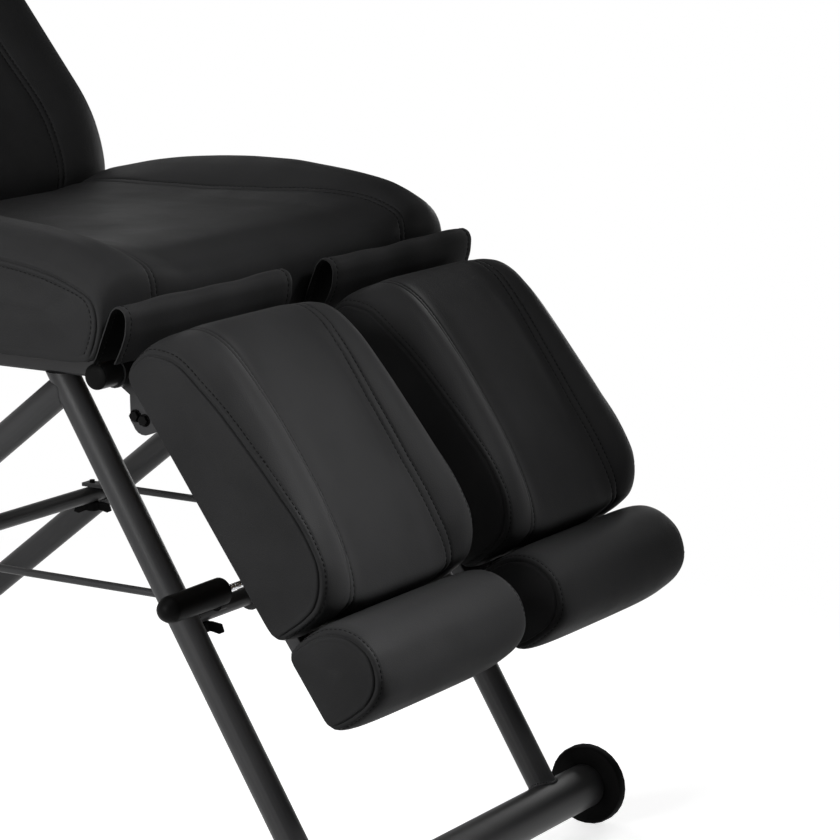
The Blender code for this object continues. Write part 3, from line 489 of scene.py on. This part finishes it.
def bump(tree, shader, source, strength, distance, below=None):
    """Bump on a shader, over the bump below it if there is one."""
    node = tree.nodes.new("ShaderNodeBump")
    node.inputs["Strength"].default_value = strength
    node.inputs["Distance"].default_value = distance
    tree.links.new(source, node.inputs["Height"])
    if below is not None:
        tree.links.new(below, node.inputs["Normal"])
    tree.links.new(node.outputs["Normal"], shader.inputs["Normal"])
    return node.outputs["Normal"]


def clouded(tree, shader, source, colours, rough, span=(0.35, 0.65)):
    """Colour and roughness that wander with a texture."""
    tree.links.new(ramp(tree, source, *colours, span), shader.inputs["Base Color"])
    tree.links.new(ramp(tree, source, *rough), shader.inputs["Roughness"])


def leather(name):
    material, tree, shader = node_material(name)
    cloud = texture(tree, "ShaderNodeTexNoise", 14, Detail=4.0)
    colours = ((0.0225, 0.0225, 0.02295), (0.0270, 0.0270, 0.02754))
    clouded(tree, shader, cloud.outputs["Fac"], colours, (0.44, 0.54))
    shader.inputs["Specular IOR Level"].default_value = 0.02
    grain = texture(tree, "ShaderNodeTexVoronoi", 760)
    pores = texture(tree, "ShaderNodeTexNoise", 1500, Detail=2.0)
    slack = texture(tree, "ShaderNodeTexNoise", 22, Detail=3.0)
    below = bump(tree, shader, slack.outputs["Fac"], 0.12, 0.004)
    below = bump(tree, shader, grain.outputs["Distance"], 0.30, 0.0004, below)
    bump(tree, shader, pores.outputs["Fac"], 0.10, 0.0002, below)
    return material


def powder_coat(name):
    material, tree, shader = node_material(name)
    cloud = texture(tree, "ShaderNodeTexNoise", 9, Detail=5.0)
    colours = ((0.026, 0.026, 0.027), (0.036, 0.036, 0.037))
    clouded(tree, shader, cloud.outputs["Fac"], colours, (0.40, 0.50))
    shader.inputs["Specular IOR Level"].default_value = 0.20
    peel = texture(tree, "ShaderNodeTexNoise", 420, Detail=2.0)
    bump(tree, shader, peel.outputs["Fac"], 0.12, 0.0004)
    return material


def moulded(name, low, high, rough, grain):
    """Dull black material between two grey values, with a fine grain."""
    material, tree, shader = node_material(name)
    cloud = texture(tree, "ShaderNodeTexNoise", 25, Detail=4.0)
    clouded(tree, shader, cloud.outputs["Fac"], (low, high), (rough - 0.06, rough + 0.06))
    shader.inputs["Specular IOR Level"].default_value = 0.04
    spark = texture(tree, "ShaderNodeTexNoise", grain, Detail=2.0)
    bump(tree, shader, spark.outputs["Fac"], 0.18, 0.0003)
    return material


def bright_steel(name, knurl=False):
    material, tree, shader = node_material(name)
    shader.inputs["Metallic"].default_value = 1.0
    cloud = texture(tree, "ShaderNodeTexNoise", 60, Detail=5.0)
    colours = ((0.58, 0.58, 0.60), (0.72, 0.72, 0.73))
    clouded(tree, shader, cloud.outputs["Fac"], colours, (0.16, 0.28))
    if knurl:
        dots = texture(tree, "ShaderNodeTexVoronoi", 420)
        bump(tree, shader, dots.outputs["Distance"], 0.7, 0.0008)
    else:
        drawn = texture(tree, "ShaderNodeTexNoise", 300, Detail=3.0)
        bump(tree, shader, drawn.outputs["Fac"], 0.05, 0.0002)
    return material


def plywood(name):
    material, tree, shader = node_material(name)
    figure = texture(tree, "ShaderNodeTexNoise", 1.0, (26, 2.2, 26), Detail=7.0, Roughness=0.62,
                     Distortion=0.6)
    colours = ((0.29, 0.185, 0.098), (0.47, 0.335, 0.195))
    clouded(tree, shader, figure.outputs["Fac"], colours, (0.55, 0.70), (0.38, 0.62))
    fibre = texture(tree, "ShaderNodeTexNoise", 1.0, (900, 60, 900), Detail=4.0)
    bump(tree, shader, fibre.outputs["Fac"], 0.25, 0.0006)
    return material


LEATHER = leather("leatherette")
BACKING = moulded("flap_backing", 0.003, 0.006, 0.85, 1800)
THREAD = moulded("thread", 0.004, 0.010, 0.6, 2400)
COAT = powder_coat("powder_coat")
FINISH = {
    "frame_coat": COAT,
    "upholstery": LEATHER,
    "plywood": plywood("bare_plywood"),
    "rubber": moulded("cap_rubber", 0.003, 0.005, 0.62, 700),
    "grip": moulded("grip_plastic", 0.003, 0.005, 0.50, 900),
    "bright_steel": bright_steel("plated_steel"),
}
KNURLED = bright_steel("knurled_steel", knurl=True)


# Finishes of the CAD nodes, with rounded surfaces shaded round

def shade_round(mesh, angle):
    """Normals shared across edges that turn less than angle, also where the mesh is split there."""
    faces = mesh.polygons
    normal = np.array([f.normal for f in faces])
    area = np.array([f.area for f in faces])
    corner = np.round(np.array([v.co for v in mesh.vertices]), 5)
    _, where = np.unique(corner, axis=0, return_inverse=True)
    where = where.reshape(-1)
    around = {}
    for f in faces:
        for v in f.vertices:
            around.setdefault(int(where[v]), []).append(f.index)
    limit = math.cos(math.radians(angle))
    out = []
    for f in faces:
        for v in f.vertices:
            near = around[int(where[v])]
            near = [k for k in near if np.dot(normal[k], normal[f.index]) > limit]
            mean = (normal[near] * area[near][:, None]).sum(0)
            out.append(mean / max(np.linalg.norm(mean), 1e-12))
    faces.foreach_set("use_smooth", [True] * len(faces))
    mesh.normals_split_custom_set(out)


for name, ob in NODES.items():
    ob.data.materials.clear()
    ob.data.materials.append(KNURLED if name.startswith("lever_rod") else FINISH[SLOT[name]])
    if SLOT[name] != "upholstery":
        shade_round(ob.data, ROUND_CAD)


# Cushions

def fill_lines(ends, special, step):
    """Places from one end to the other: the special ones, and even ones between them where there is room."""
    places = sorted(special)
    for p in np.arange(ends[0], ends[1], step):
        if min(abs(p - q) for q in places) > LINE_ROOM * step:
            places.append(p)
    return np.array(sorted(places))


class Shell:
    """Surface of a CAD cushion in its own frame: a band over top, ends and base, and a panel on each side.

    Band places run from 0 to 1 across the width, panel places are distances in from the rim.
    """

    def __init__(self, node, place, seams, step, bulge):
        sections = read_sections(node, place)
        ys = np.array([y for y, _ in sections])
        length = max(np.ptp(np.array(ring)[:, 0]) for _, ring in sections)
        height = max(np.ptp(np.array(ring)[:, 1]) for _, ring in sections)
        under = int(length / step / (BASE_STEP * COARSE)) * COARSE
        over = int((length + 2 * height) / step / COARSE) * COARSE
        self.step, self.bulge = step, bulge
        self.mid, self.half = (ys[0] + ys[-1]) / 2, (ys[-1] - ys[0]) / 2
        self.width = 2 * self.half
        self.rim = height / 2
        self.count = over + under
        self.outlines = np.array([even_outline(ring, over, under) for _, ring in sections])
        self.floor = self.outlines[:, :, 1].min()
        self.across = spline(ys, self.outlines)
        self.knots = [0.0, 1.0]
        self.seam_y = None
        if seams:
            middle = self.across(np.full(self.count, self.mid), np.arange(self.count))
            self.seam_y = np.interp(middle[:, 0], *zip(*seams))
            self.bolster = (self.half - self.seam_y.mean()) / self.width
            self.knots = [0.0, self.bolster, 1 - self.bolster, 1.0]

    def fine_places(self):
        """Band and panel places of the finished surface, dense at edges and seams."""
        band = [s / self.width for s in EDGE_STEPS] + [1 - s / self.width for s in EDGE_STEPS]
        for knot in self.knots[1:-1]:
            band += [knot + k * s / self.width for s in SEAM_STEPS for k in (-1, 1)]
        band = fill_lines((0, 1), set(np.round(band, 6)), 2 * self.step / self.width)
        spine = self.rim - SPINE
        return band, fill_lines((0, spine), (*PANEL_STEPS, spine), 2 * self.step)

    def cloth_places(self):
        """Band and panel places of the simulated cloth."""
        band = fill_lines((0, 1), set(self.knots), COARSE * self.step / self.width)
        return band, np.linspace(0, self.rim - CLOTH_SPINE, CLOTH_RINGS)

    def lines(self, band, panel):
        """Points of the lines at these places, and how far across the surface each line lies."""
        rows = []
        for w in band:
            if self.seam_y is None:
                share = np.full(self.count, np.interp(w, self.knots, (-self.half, self.half)))
            else:
                share = [np.interp(w, self.knots, (-self.half, -s, s, self.half)) for s in self.seam_y]
            y = self.mid + np.array(share)
            spots = self.across(y, np.arange(self.count))
            rows.append(np.column_stack((spots[:, 0], y, spots[:, 1])))
        sides = []
        for ring, sign in ((self.outlines[0], -1), (self.outlines[-1], 1)):
            middle = (ring[:, 1].min() + ring[:, 1].max()) / 2
            spine = np.clip(ring[:, 0], ring[:, 0].min() + self.rim, ring[:, 0].max() - self.rim)
            out = []
            for d in panel:
                s = 1 - d / self.rim
                x = spine + s * (ring[:, 0] - spine)
                z = middle + s * (ring[:, 1] - middle)
                swell = self.bulge * (1 - s ** 2) ** BULGE_POWER
                y = np.full(self.count, self.mid + (self.half + swell) * sign)
                out.append(np.column_stack((x, y, z)))
            sides.append(out)
        points = np.stack(sides[0][:0:-1] + rows + sides[1][1:], axis=1)
        return points, np.concatenate((-panel[:0:-1], band * self.width, self.width + panel[1:]))

    def line_at(self, at, knot):
        """Index of the line on an edge or a seam."""
        return int(np.argmin(abs(at - knot * self.width)))


def fill(shell, cap, swells):
    """Finished grid: panels a little proud of the solid between edges and seams, swollen as filled cloth."""
    fine, fine_at = shell.lines(*shell.fine_places())
    coarse, coarse_at = shell.lines(*shell.cloth_places())
    coarse = coarse[::COARSE]
    lower = coarse[:, :, 2] < shell.floor + HELD_HEIGHT
    held = lower.copy()
    rise = np.where(lower, 0, FULLER)
    for knot, drop in zip(shell.knots, [EDGE_DROP, *[SEAM_DROP] * (len(shell.knots) - 2), EDGE_DROP]):
        line = shell.line_at(coarse_at, knot)
        held[:, line] = True
        rise[:, line] = np.where(lower[:, line], 0, -drop)
    moved = normals_of(coarse) * ease(rise)[:, :, None]
    moved = moved + settle(coarse + moved, held, cap)
    moved = ease(moved) * np.interp(coarse[..., 0], *swells)[..., None]
    spots = np.arange(-WRAP, len(moved) + WRAP + 1)
    wrapped = np.take(moved, spots, axis=0, mode="wrap")
    round_fine = spline(spots * COARSE, wrapped)(np.arange(shell.count, dtype=float))
    swell = spline(coarse_at, np.swapaxes(round_fine, 0, 1))(fine_at)
    return soften(fine, 0, True, 2) + np.swapaxes(swell, 0, 1), fine_at


def roll_bolsters(grid, at, shell, roll):
    """Strips between seams and edges as rolls, which flatten towards the cushion's ends and base."""
    share = np.minimum(at, shell.width - at) / (shell.bolster * shell.width)
    x, z = grid[..., 0], grid[..., 2]
    free = np.minimum(x - x.min(), x.max() - x)
    full = smooth(free / ROLL_END) * smooth((z - shell.floor) / ROLL_END - 0.5)
    full = full * np.clip(1 - (2 * share - 1) ** 2, 0, 1)
    return grid + normals_of(grid) * (roll * full)[..., None]


def set_on_board(grid, shell, board, place):
    """Base made flat, standing back behind its board."""
    low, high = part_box(board)
    corners = [place.inverted() @ Vector(corner) for corner in itertools.product(*zip(low, high))]
    start, end = min(p.x for p in corners), max(p.x for p in corners)
    inset = np.minimum(np.minimum(grid[..., 0] - start, end - grid[..., 0]),
                       np.minimum(grid[..., 1] - low.y, high.y - grid[..., 1]))
    at_base = grid[..., 2] < shell.floor + BASE_HEIGHT
    grid[..., 2] = np.where(at_base, np.maximum(grid[..., 2], shell.floor), grid[..., 2])
    grid[..., 2] += np.where(at_base, BOARD_REVEAL * smooth(inset / REVEAL_RUN), 0)


def dent(off, at, deep, wide):
    """Depth at a distance off, of a dent whose middle lies at a distance."""
    return deep * np.exp(-((off - at) / wide) ** 2)


def sew(grid, at, shell, row_on_panel):
    """Grid with creases at its edges and double seams on its band, and the stitch rows along them."""
    reach = np.linalg.norm(np.diff(grid, axis=1), axis=2)
    run = np.concatenate((np.zeros((shell.count, 1)), np.cumsum(reach, axis=1)), axis=1)
    sewn = smooth((grid[..., 2] - shell.floor - SEAM_START) / SEAM_RISE)
    depth = np.zeros(run.shape)
    rows = []
    for knot, inward in ((shell.knots[0], 1), (shell.knots[-1], -1)):
        j = shell.line_at(at, knot)
        off = (run - run[:, j:j + 1]) * inward
        row = -EDGE_ROW if row_on_panel else EDGE_ROW
        depth += dent(off, 0, *EDGE_CREASE) + dent(off, row, *EDGE_ROW_DENT)
        depth -= dent(off, row * NEAR_SHARE, *NEAR_RIDGE) + dent(off, row * FAR_SHARE, *FAR_RIDGE)
        rows.append((off, row))
    for knot in shell.knots[1:-1]:
        j = shell.line_at(at, knot)
        off = run - run[:, j:j + 1]
        depth += dent(off, 0, *SEAM_VALLEY)
        for row in (-SEAM_HALF, SEAM_HALF):
            depth += dent(off, row, *SEAM_ROW_DENT)
            rows.append((off, row))
        depth -= dent(off, 0, *SEAM_RIDGE)
    grid = grid - normals_of(grid) * (depth * sewn)[..., None]
    up = normals_of(grid)

    threads = []
    for off, row in rows:
        found = []
        for i in range(shell.count):
            order = np.argsort(off[i])
            values = np.column_stack((grid[i], up[i], sewn[i]))[order]
            found.append([np.interp(row, off[i][order], values[:, k]) for k in range(7)])
        found = np.array(found)
        threads.append((found[:, :3], found[:, 3:6], found[:, 6] > 0.5))
    return grid, threads


def cushion(node, body, place, board, seams=None, step=0.0032, cap=0.003, bulge=0.003, roll=0.0,
            swells=ALL_OVER, row_on_panel=False):
    """A padded piece through the sections of its CAD solid, swollen, with its seams and stitches.

    Step is the spacing of its points; cap, bulge and roll say how far it swells, its sides bulge out and
    its bolsters rise.
    """
    shell = Shell(node, place, seams, step, bulge)
    grid, at = fill(shell, cap, swells)
    if seams:
        grid = roll_bolsters(grid, at, shell, roll)
    set_on_board(grid, shell, board, place)
    grid, threads = sew(grid, at, shell, row_on_panel)
    turn = np.array(place)[:3, :3].T
    shift = np.array(place)[:3, 3]
    cover = outward_mesh(f"{node}_cover", grid.reshape(-1, 3) @ turn + shift,
                         grid_faces(shell.count, grid.shape[1]))
    ob = smooth_object(f"{node}_cover", cover, LEATHER)
    threads = [(points @ turn + shift, ups @ turn, on) for points, ups, on in threads]
    sewing = stitches(f"{node}_stitches", threads, THREAD)
    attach(ob, body)
    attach(sewing, body)
    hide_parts(node)


cushion("seat_cushion", "base", LEVEL, "seat_board", SEAT_SEAMS, step=0.0050, cap=0.004, roll=0.0015,
        swells=SEAT_SWELLS, row_on_panel=True)
cushion("back_cushion", "backrest", BACK, "back_board", BACK_SEAMS, step=0.0060, cap=0.004, roll=0.0015,
        row_on_panel=True)
for side, _ in SIDES:
    cushion(f"leg_pad_{side}", f"leg_rest_{side}", LEG, f"leg_board_{side}", PAD_SEAMS, step=0.0036,
            roll=0.0025, swells=PAD_SWELLS)
    cushion(f"foot_cushion_{side}", f"foot_rest_{side}", LEG, f"foot_board_{side}", bulge=0.002)


# Flaps: loops of upholstery sheet between seat and leg rests

def flap(side, sign):
    """Sheet with an outer and an inner face, hemmed at both ends."""
    low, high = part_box(f"flap_{side}")
    line = np.array(FLAP_LINE)
    chord = run_along(line)
    path = spline(chord, line)(np.linspace(0, chord[-1], FLAP_POINTS))
    lead = np.gradient(path, axis=0)
    out = np.column_stack((-lead[:, 1], lead[:, 0]))
    out /= np.linalg.norm(out, axis=1)[:, None]
    ups = np.column_stack((out[:, 0], np.zeros(len(out)), out[:, 1]))
    slack = smooth((path[:, 1] - SLACK_FROM) / SLACK_RISE)
    hems = [low.y + s for s in HEM_STEPS] + [high.y - s for s in HEM_STEPS]
    places = fill_lines((low.y, high.y), hems, FLAP_STEP)
    verts, faces, rows = [], [], []
    for face in (1, -1):
        for y in places:
            share = (y - low.y) / (high.y - low.y)
            wave = LONG_WAVE[0] * math.sin(LONG_WAVE[1] * share + sign)
            wave += SHORT_WAVE[0] * math.sin(SHORT_WAVE[1] * share + 2)
            edge = min(y - low.y, high.y - y)
            thick = FLAP_SHEET * (FLAP_THIN + (1 - FLAP_THIN) * min(1.0, edge / FLAP_ROUND))
            dip = dent(edge, HEM, *HEM_DENT)
            spot = path + out * (face * (thick / 2 - dip) + wave * slack)[:, None]
            points = np.column_stack((spot[:, 0], np.full(len(spot), y), spot[:, 1]))
            verts += list(points)
            if abs(edge - HEM) < 1e-6:
                rows.append((points, ups * face, [True] * len(points)))

    n, m = len(path), len(places)
    for first in (0, n * m):
        for j in range(m - 1):
            for i in range(n - 1):
                a = first + j * n + i
                faces.append((a, a + 1, a + n + 1, a + n))
    rim = ([j * n for j in range(m)] + [(m - 1) * n + i for i in range(1, n)]
           + [j * n + n - 1 for j in range(m - 2, -1, -1)] + list(range(n - 2, 0, -1)))
    for a, b in zip(rim, rim[1:] + rim[:1]):
        faces.append((a, b, b + n * m, a + n * m))
    mesh = outward_mesh(f"flap_{side}_sheet", verts, faces)
    sheet = smooth_object(f"flap_{side}_sheet", mesh, LEATHER, ROUND_SHEET)
    mesh.materials.append(BACKING)
    quads = (n - 1) * (m - 1)
    for k in range(quads, 2 * quads):
        mesh.polygons[k].material_index = 1
    threads = stitches(f"flap_{side}_stitches", rows, THREAD)
    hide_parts(f"flap_{side}")
    for piece in (sheet, threads):
        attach(piece, "base")
        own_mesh(piece)


for side, sign in SIDES:
    flap(side, sign)


# Small hardware: bolts, plugs, welds and bars that the solids leave out

class Bits:
    """Small solids gathered into one piece."""

    def __init__(self):
        self.bm = bmesh.new()

    def turned(self, profile, place, steps=20):
        """Solid round local Z through (radius, height) points, the first and last on the axis."""
        turns = [2 * math.pi * k / steps for k in range(steps)]
        rings = []
        for r, h in profile:
            spots = [(r * math.cos(t), r * math.sin(t)) for t in turns] if r else [(0, 0)]
            rings.append([self.bm.verts.new(place @ Vector((x, y, h))) for x, y in spots])
        for lower, upper in zip(rings, rings[1:]):
            for k in range(steps):
                n = (k + 1) % steps
                corners = (lower[k % len(lower)], lower[n % len(lower)],
                           upper[n % len(upper)], upper[k % len(upper)])
                self.bm.faces.new(dict.fromkeys(corners))

    def block(self, low, high, place, round_off):
        """Box between two corners, with rounded edges."""
        size = Vector(high) - Vector(low)
        middle = Matrix.Translation((Vector(high) + Vector(low)) / 2)
        made = bmesh.ops.create_cube(self.bm, size=1, matrix=place @ middle @ Matrix.Diagonal((*size, 1)))
        edges = {e for v in made["verts"] for e in v.link_edges}
        bmesh.ops.bevel(self.bm, geom=list(edges), offset=round_off, segments=3, profile=0.5, affect="EDGES")

    def bead(self, path, ups, along):
        """Closed weld bead along path, rippled; ups point out of the joint and along runs with the path."""
        across = np.cross(along, ups)
        run = np.cumsum(np.linalg.norm(np.roll(path, -1, 0) - path, axis=1))
        beats = max(1, round(run[-1] / RIPPLE))
        thick = BEAD_R * (1 + RIPPLE_SHARE * np.cos(2 * math.pi * beats * run / run[-1]))
        turns = [2 * math.pi * k / BEAD_SIDES for k in range(BEAD_SIDES)]
        rings = []
        for p, u, c, r in zip(path, ups, across, thick):
            rings.append([self.bm.verts.new(p + (u * math.sin(t) + c * math.cos(t)) * r) for t in turns])
        for lower, upper in zip(rings, rings[1:] + rings[:1]):
            for k in range(BEAD_SIDES):
                n = (k + 1) % BEAD_SIDES
                self.bm.faces.new((lower[k], lower[n], upper[n], upper[k]))

    def piece(self, name, material, body, slot):
        mesh = bpy.data.meshes.new(name)
        bmesh.ops.recalc_face_normals(self.bm, faces=self.bm.faces)
        self.bm.to_mesh(mesh)
        self.bm.free()
        ob = smooth_object(name, mesh, material, ROUND_BITS)
        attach(ob, body)


def facing(point, sign):
    """Place at a point with local Z along Y, outwards on the side that sign gives."""
    return Matrix.Translation(point) @ Matrix.Rotation(-sign * math.pi / 2, 4, "X")


def centre(node):
    """Middle of a node's box."""
    low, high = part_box(node)
    return (low + high) / 2


def bracket_bolts(bits, rest, y, sign):
    """Bolts through the holes of a hinge plate, with washers and nuts."""
    for along, square in PLATE_HOLES:
        place = facing(rest @ Vector((along, y, square)), sign)
        bits.turned(WASHER, place)
        bits.turned(HEAD, place, HEX)
        bits.turned(NUT, place, HEX)
        bits.turned(THREAD_END, place, 14)


for side, sign in SIDES:
    first, second = sorted(centre(f"leg_rail_{place}_{side}").y for place in ("outer", "inner"))
    bits = Bits()
    for y in (first, second):
        bracket_bolts(bits, LEG, y, sign)
    bits.piece(f"leg_bolts_{side}", FINISH["grip"], f"leg_rest_{side}", "grip")

    bits = Bits()
    under = min((LEG.inverted() @ v.co).z for v in NODES[f"leg_board_{side}"].data.vertices) - BOARD_CLEAR
    for y0, y1 in ((first - BAR_REACH[-sign], first - RAIL_CLEAR), (first + RAIL_CLEAR, second - RAIL_CLEAR),
                   (second + RAIL_CLEAR, second + BAR_REACH[sign])):
        bits.block((LEG_BAR[0], y0, under - BAR_DEPTH), (LEG_BAR[1], y1, under), LEG, BAR_ROUND)
    bits.piece(f"leg_bar_{side}", COAT, f"leg_rest_{side}", "frame_coat")

bits = Bits()
for side, sign in SIDES:
    bracket_bolts(bits, BACK, centre(f"back_rail_{side}").y, sign)
bits.piece("back_bolts", FINISH["grip"], "backrest", "grip")


# Plugs in the open tube ends

def tube_plug(radius):
    """Profile of a low domed plug with a rounded rim."""
    return ((0, -0.0010), (radius - 0.0012, -0.0010), (radius - 0.0002, 0), (radius - 0.0002, 0.0009),
            (radius - 0.0011, 0.0018), (0.55 * radius, 0.0026), (0, 0.0029))


bits = Bits()
for tube in ("leg_hinge_tube", "back_hinge_tube"):
    low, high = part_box(tube)
    spot = centre(tube)
    for sign, y in ((-1, low.y), (1, high.y)):
        bits.turned(tube_plug((high.z - low.z) / 2), facing((spot.x, y, spot.z), sign), 28)
for side, _ in SIDES:
    low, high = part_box(f"seat_rail_{side}")
    for x0, x1 in ((low.x - PLUG_OUT, low.x - PLUG_CLEAR), (high.x + PLUG_CLEAR, high.x + PLUG_OUT)):
        bits.block((x0, low.y + PLUG_INSIDE, low.z + PLUG_INSIDE),
                   (x1, high.y - PLUG_INSIDE, high.z - PLUG_INSIDE), LEVEL, PLUG_ROUND)
bits.piece("tube_plugs", FINISH["rubber"], "base", "rubber")


# Weld beads where the legs meet the floor bars and the cross tubes meet the legs

def weld(bits, start, along, radius, other, axis, reach):
    """Bead round a tube that leaves a round bar: the tube from start, the bar through other along axis."""
    side_x = along.orthogonal().normalized()
    side_y = along.cross(side_x)
    slant = along - axis * along.dot(axis)
    path, ups = [], []
    for k in range(BEAD_STEPS):
        turn = 2 * math.pi * k / BEAD_STEPS
        radial = side_x * math.cos(turn) + side_y * math.sin(turn)
        away = start + radial * radius - other
        away -= axis * away.dot(axis)
        a, b, c = slant.dot(slant), 2 * away.dot(slant), away.dot(away) - reach ** 2
        t = (-b + math.sqrt(max(b * b - 4 * a * c, 0))) / (2 * a)
        spot = start + radial * radius + along * t
        bar_out = spot - other
        bar_out -= axis * bar_out.dot(axis)
        path.append(spot)
        ups.append((radial + bar_out.normalized()).normalized())
    path, ups = np.array(path), np.array(ups)
    tangent = np.roll(path, -1, 0) - np.roll(path, 1, 0)
    tangent /= np.linalg.norm(tangent, axis=1)[:, None]
    ups -= tangent * np.sum(ups * tangent, axis=1)[:, None]
    bits.bead(path, ups / np.linalg.norm(ups, axis=1)[:, None], tangent)


bits = Bits()
across = Vector((0, 1, 0))
for end in ("front", "rear"):
    bar, tube = centre(f"{end}_floor_bar"), centre(f"{end}_cross_tube")
    climb = Vector((tube.x - bar.x, 0, tube.z - bar.z)).normalized()
    bar_low, bar_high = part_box(f"{end}_floor_bar")
    tube_low, tube_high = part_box(f"{end}_cross_tube")
    for side, sign in SIDES:
        low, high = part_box(f"{end}_leg_{side}")
        y = (low.y + high.y) / 2
        leg_r = (high.y - low.y) / 2
        weld(bits, Vector((bar.x, y, bar.z)), climb, leg_r, bar, across, (bar_high.z - bar_low.z) / 2)
        joint = Vector((tube.x, y, tube.z))
        weld(bits, joint, across * -sign, (tube_high.z - tube_low.z) / 2, joint, climb, leg_r)
bits.piece("weld_beads", COAT, "base", "frame_coat")


# Stage: pale floor, white surroundings, soft lamps and the camera

def light_path(tree, *kinds):
    """1 for rays of any of these kinds."""
    path = tree.nodes.new("ShaderNodeLightPath")
    out = path.outputs[kinds[0]]
    for kind in kinds[1:]:
        more = tree.nodes.new("ShaderNodeMath")
        more.operation = "MAXIMUM"
        tree.links.new(out, more.inputs[0])
        tree.links.new(path.outputs[kind], more.inputs[1])
        out = more.outputs[0]
    return out


def blend(tree, share, low, high):
    """Shader that goes from low to high as the share goes from 0 to 1."""
    node = tree.nodes.new("ShaderNodeMixShader")
    for i, source in enumerate((share, low.outputs[0], high.outputs[0])):
        tree.links.new(source, node.inputs[i])
    return node


def stage_floor():
    """Pale floor that turns into the white surroundings away from the chair."""
    mesh = bpy.data.meshes.new("floor")
    corners = ((-1, -1), (1, -1), (1, 1), (-1, 1))
    mesh.from_pydata([(x * FLOOR_REACH, y * FLOOR_REACH, 0) for x, y in corners], [], [(0, 1, 2, 3)])
    ob = link("floor", mesh)
    material = bpy.data.materials.new("pale_floor")
    material.use_nodes = True
    tree = material.node_tree
    tree.nodes.clear()
    place = tree.nodes.new("ShaderNodeTexCoord")
    away = tree.nodes.new("ShaderNodeVectorMath")
    away.operation = "LENGTH"
    tree.links.new(place.outputs["Object"], away.inputs[0])
    reached = tree.nodes.new("ShaderNodeMapRange")
    reached.interpolation_type = "SMOOTHSTEP"
    reached.inputs["From Min"].default_value = WHITE_FROM
    reached.inputs["From Max"].default_value = WHITE_AT
    tree.links.new(away.outputs["Value"], reached.inputs["Value"])

    shown = tree.nodes.new("ShaderNodeBsdfDiffuse")
    shown.inputs["Color"].default_value = (0.9, 0.9, 0.9, 1)
    lift = tree.nodes.new("ShaderNodeEmission")
    lift.inputs["Strength"].default_value = 0.74
    both = tree.nodes.new("ShaderNodeAddShader")
    tree.links.new(shown.outputs[0], both.inputs[0])
    tree.links.new(lift.outputs[0], both.inputs[1])
    white = tree.nodes.new("ShaderNodeEmission")
    far = blend(tree, reached.outputs[0], both, white)
    plain = tree.nodes.new("ShaderNodeBsdfDiffuse")
    plain.inputs["Color"].default_value = (0.12, 0.12, 0.12, 1)
    shown_rays = light_path(tree, "Is Camera Ray", "Is Glossy Ray", "Is Transmission Ray")
    out = tree.nodes.new("ShaderNodeOutputMaterial")
    tree.links.new(blend(tree, shown_rays, plain, far).outputs[0], out.inputs["Surface"])
    mesh.materials.append(material)


def surroundings():
    """White to the camera, fading upwards in reflections, and a dim room as a light."""
    world = bpy.data.worlds.new("studio")
    bpy.context.scene.world = world
    world.use_nodes = True
    tree = world.node_tree
    tree.nodes.clear()
    white = tree.nodes.new("ShaderNodeBackground")
    white.inputs["Color"].default_value = (1, 1, 1, 1)
    room = tree.nodes.new("ShaderNodeBackground")
    room.inputs["Color"].default_value = (1, 1, 1, 1)
    room.inputs["Strength"].default_value = 0.08
    place = tree.nodes.new("ShaderNodeTexCoord")
    height = tree.nodes.new("ShaderNodeSeparateXYZ")
    tree.links.new(place.outputs["Generated"], height.inputs[0])
    fading = tree.nodes.new("ShaderNodeMapRange")
    fading.inputs["From Min"].default_value = 0.02
    fading.inputs["From Max"].default_value = 0.16
    fading.inputs["To Min"].default_value = 1.0
    fading.inputs["To Max"].default_value = 0.10
    tree.links.new(height.outputs["Z"], fading.inputs["Value"])
    backdrop = tree.nodes.new("ShaderNodeBackground")
    backdrop.inputs["Color"].default_value = (1, 1, 1, 1)
    tree.links.new(fading.outputs[0], backdrop.inputs["Strength"])
    mirrored = blend(tree, light_path(tree, "Is Glossy Ray"), room, backdrop)
    shown_rays = light_path(tree, "Is Camera Ray", "Is Transmission Ray")
    out = tree.nodes.new("ShaderNodeOutputWorld")
    tree.links.new(blend(tree, shown_rays, mirrored, white).outputs[0], out.inputs["Surface"])


def lamp(name, where, at, size, power, spread=180):
    """Square lamp at a place, aimed at a point."""
    data = bpy.data.lights.new(name, "AREA")
    data.shape = "SQUARE"
    data.size = size
    data.energy = power
    data.spread = math.radians(spread)
    ob = link(name, data)
    ob.location = where
    ob.rotation_euler = (Vector(at) - Vector(where)).to_track_quat("-Z", "Y").to_euler()
    ob.visible_camera = False


stage_floor()
surroundings()
lamp("key", (-0.1, -1.9, 1.05), (0.3, 0, 0.5), 1.0, 33)
lamp("far", (1.75, 0.75, 1.85), (0.54, -0.52, 0.24), 0.6, 3.1, 30)
lamp("over", (0.3, -0.6, 1.6), (0.3, -0.1, 0.5), 0.8, 4.2)
lamp("crest", (-1.2, 1.4, 1.6), (0.3, 0.1, 0.5), 0.8, 3.6)
lamp("side", (0.2, 2.2, 0.8), (0.4, 0.1, 0.45), 1.0, 10)
lamp("rear", (-2.2, 0.6, 1.5), (-0.2, 0, 0.6), 1.6, 11)

data = bpy.data.cameras.new("camera")
data.sensor_width = 36.0
data.lens = FOCAL_PIXELS * data.sensor_width / FRAME_PIXELS
data.clip_end = 60.0
camera = link("camera", data)
camera.location = EYE
camera.rotation_euler = VIEW.to_track_quat("-Z", "Y").to_euler()
bpy.context.scene.camera = camera
bpy.context.scene.view_settings.view_transform = "Standard"
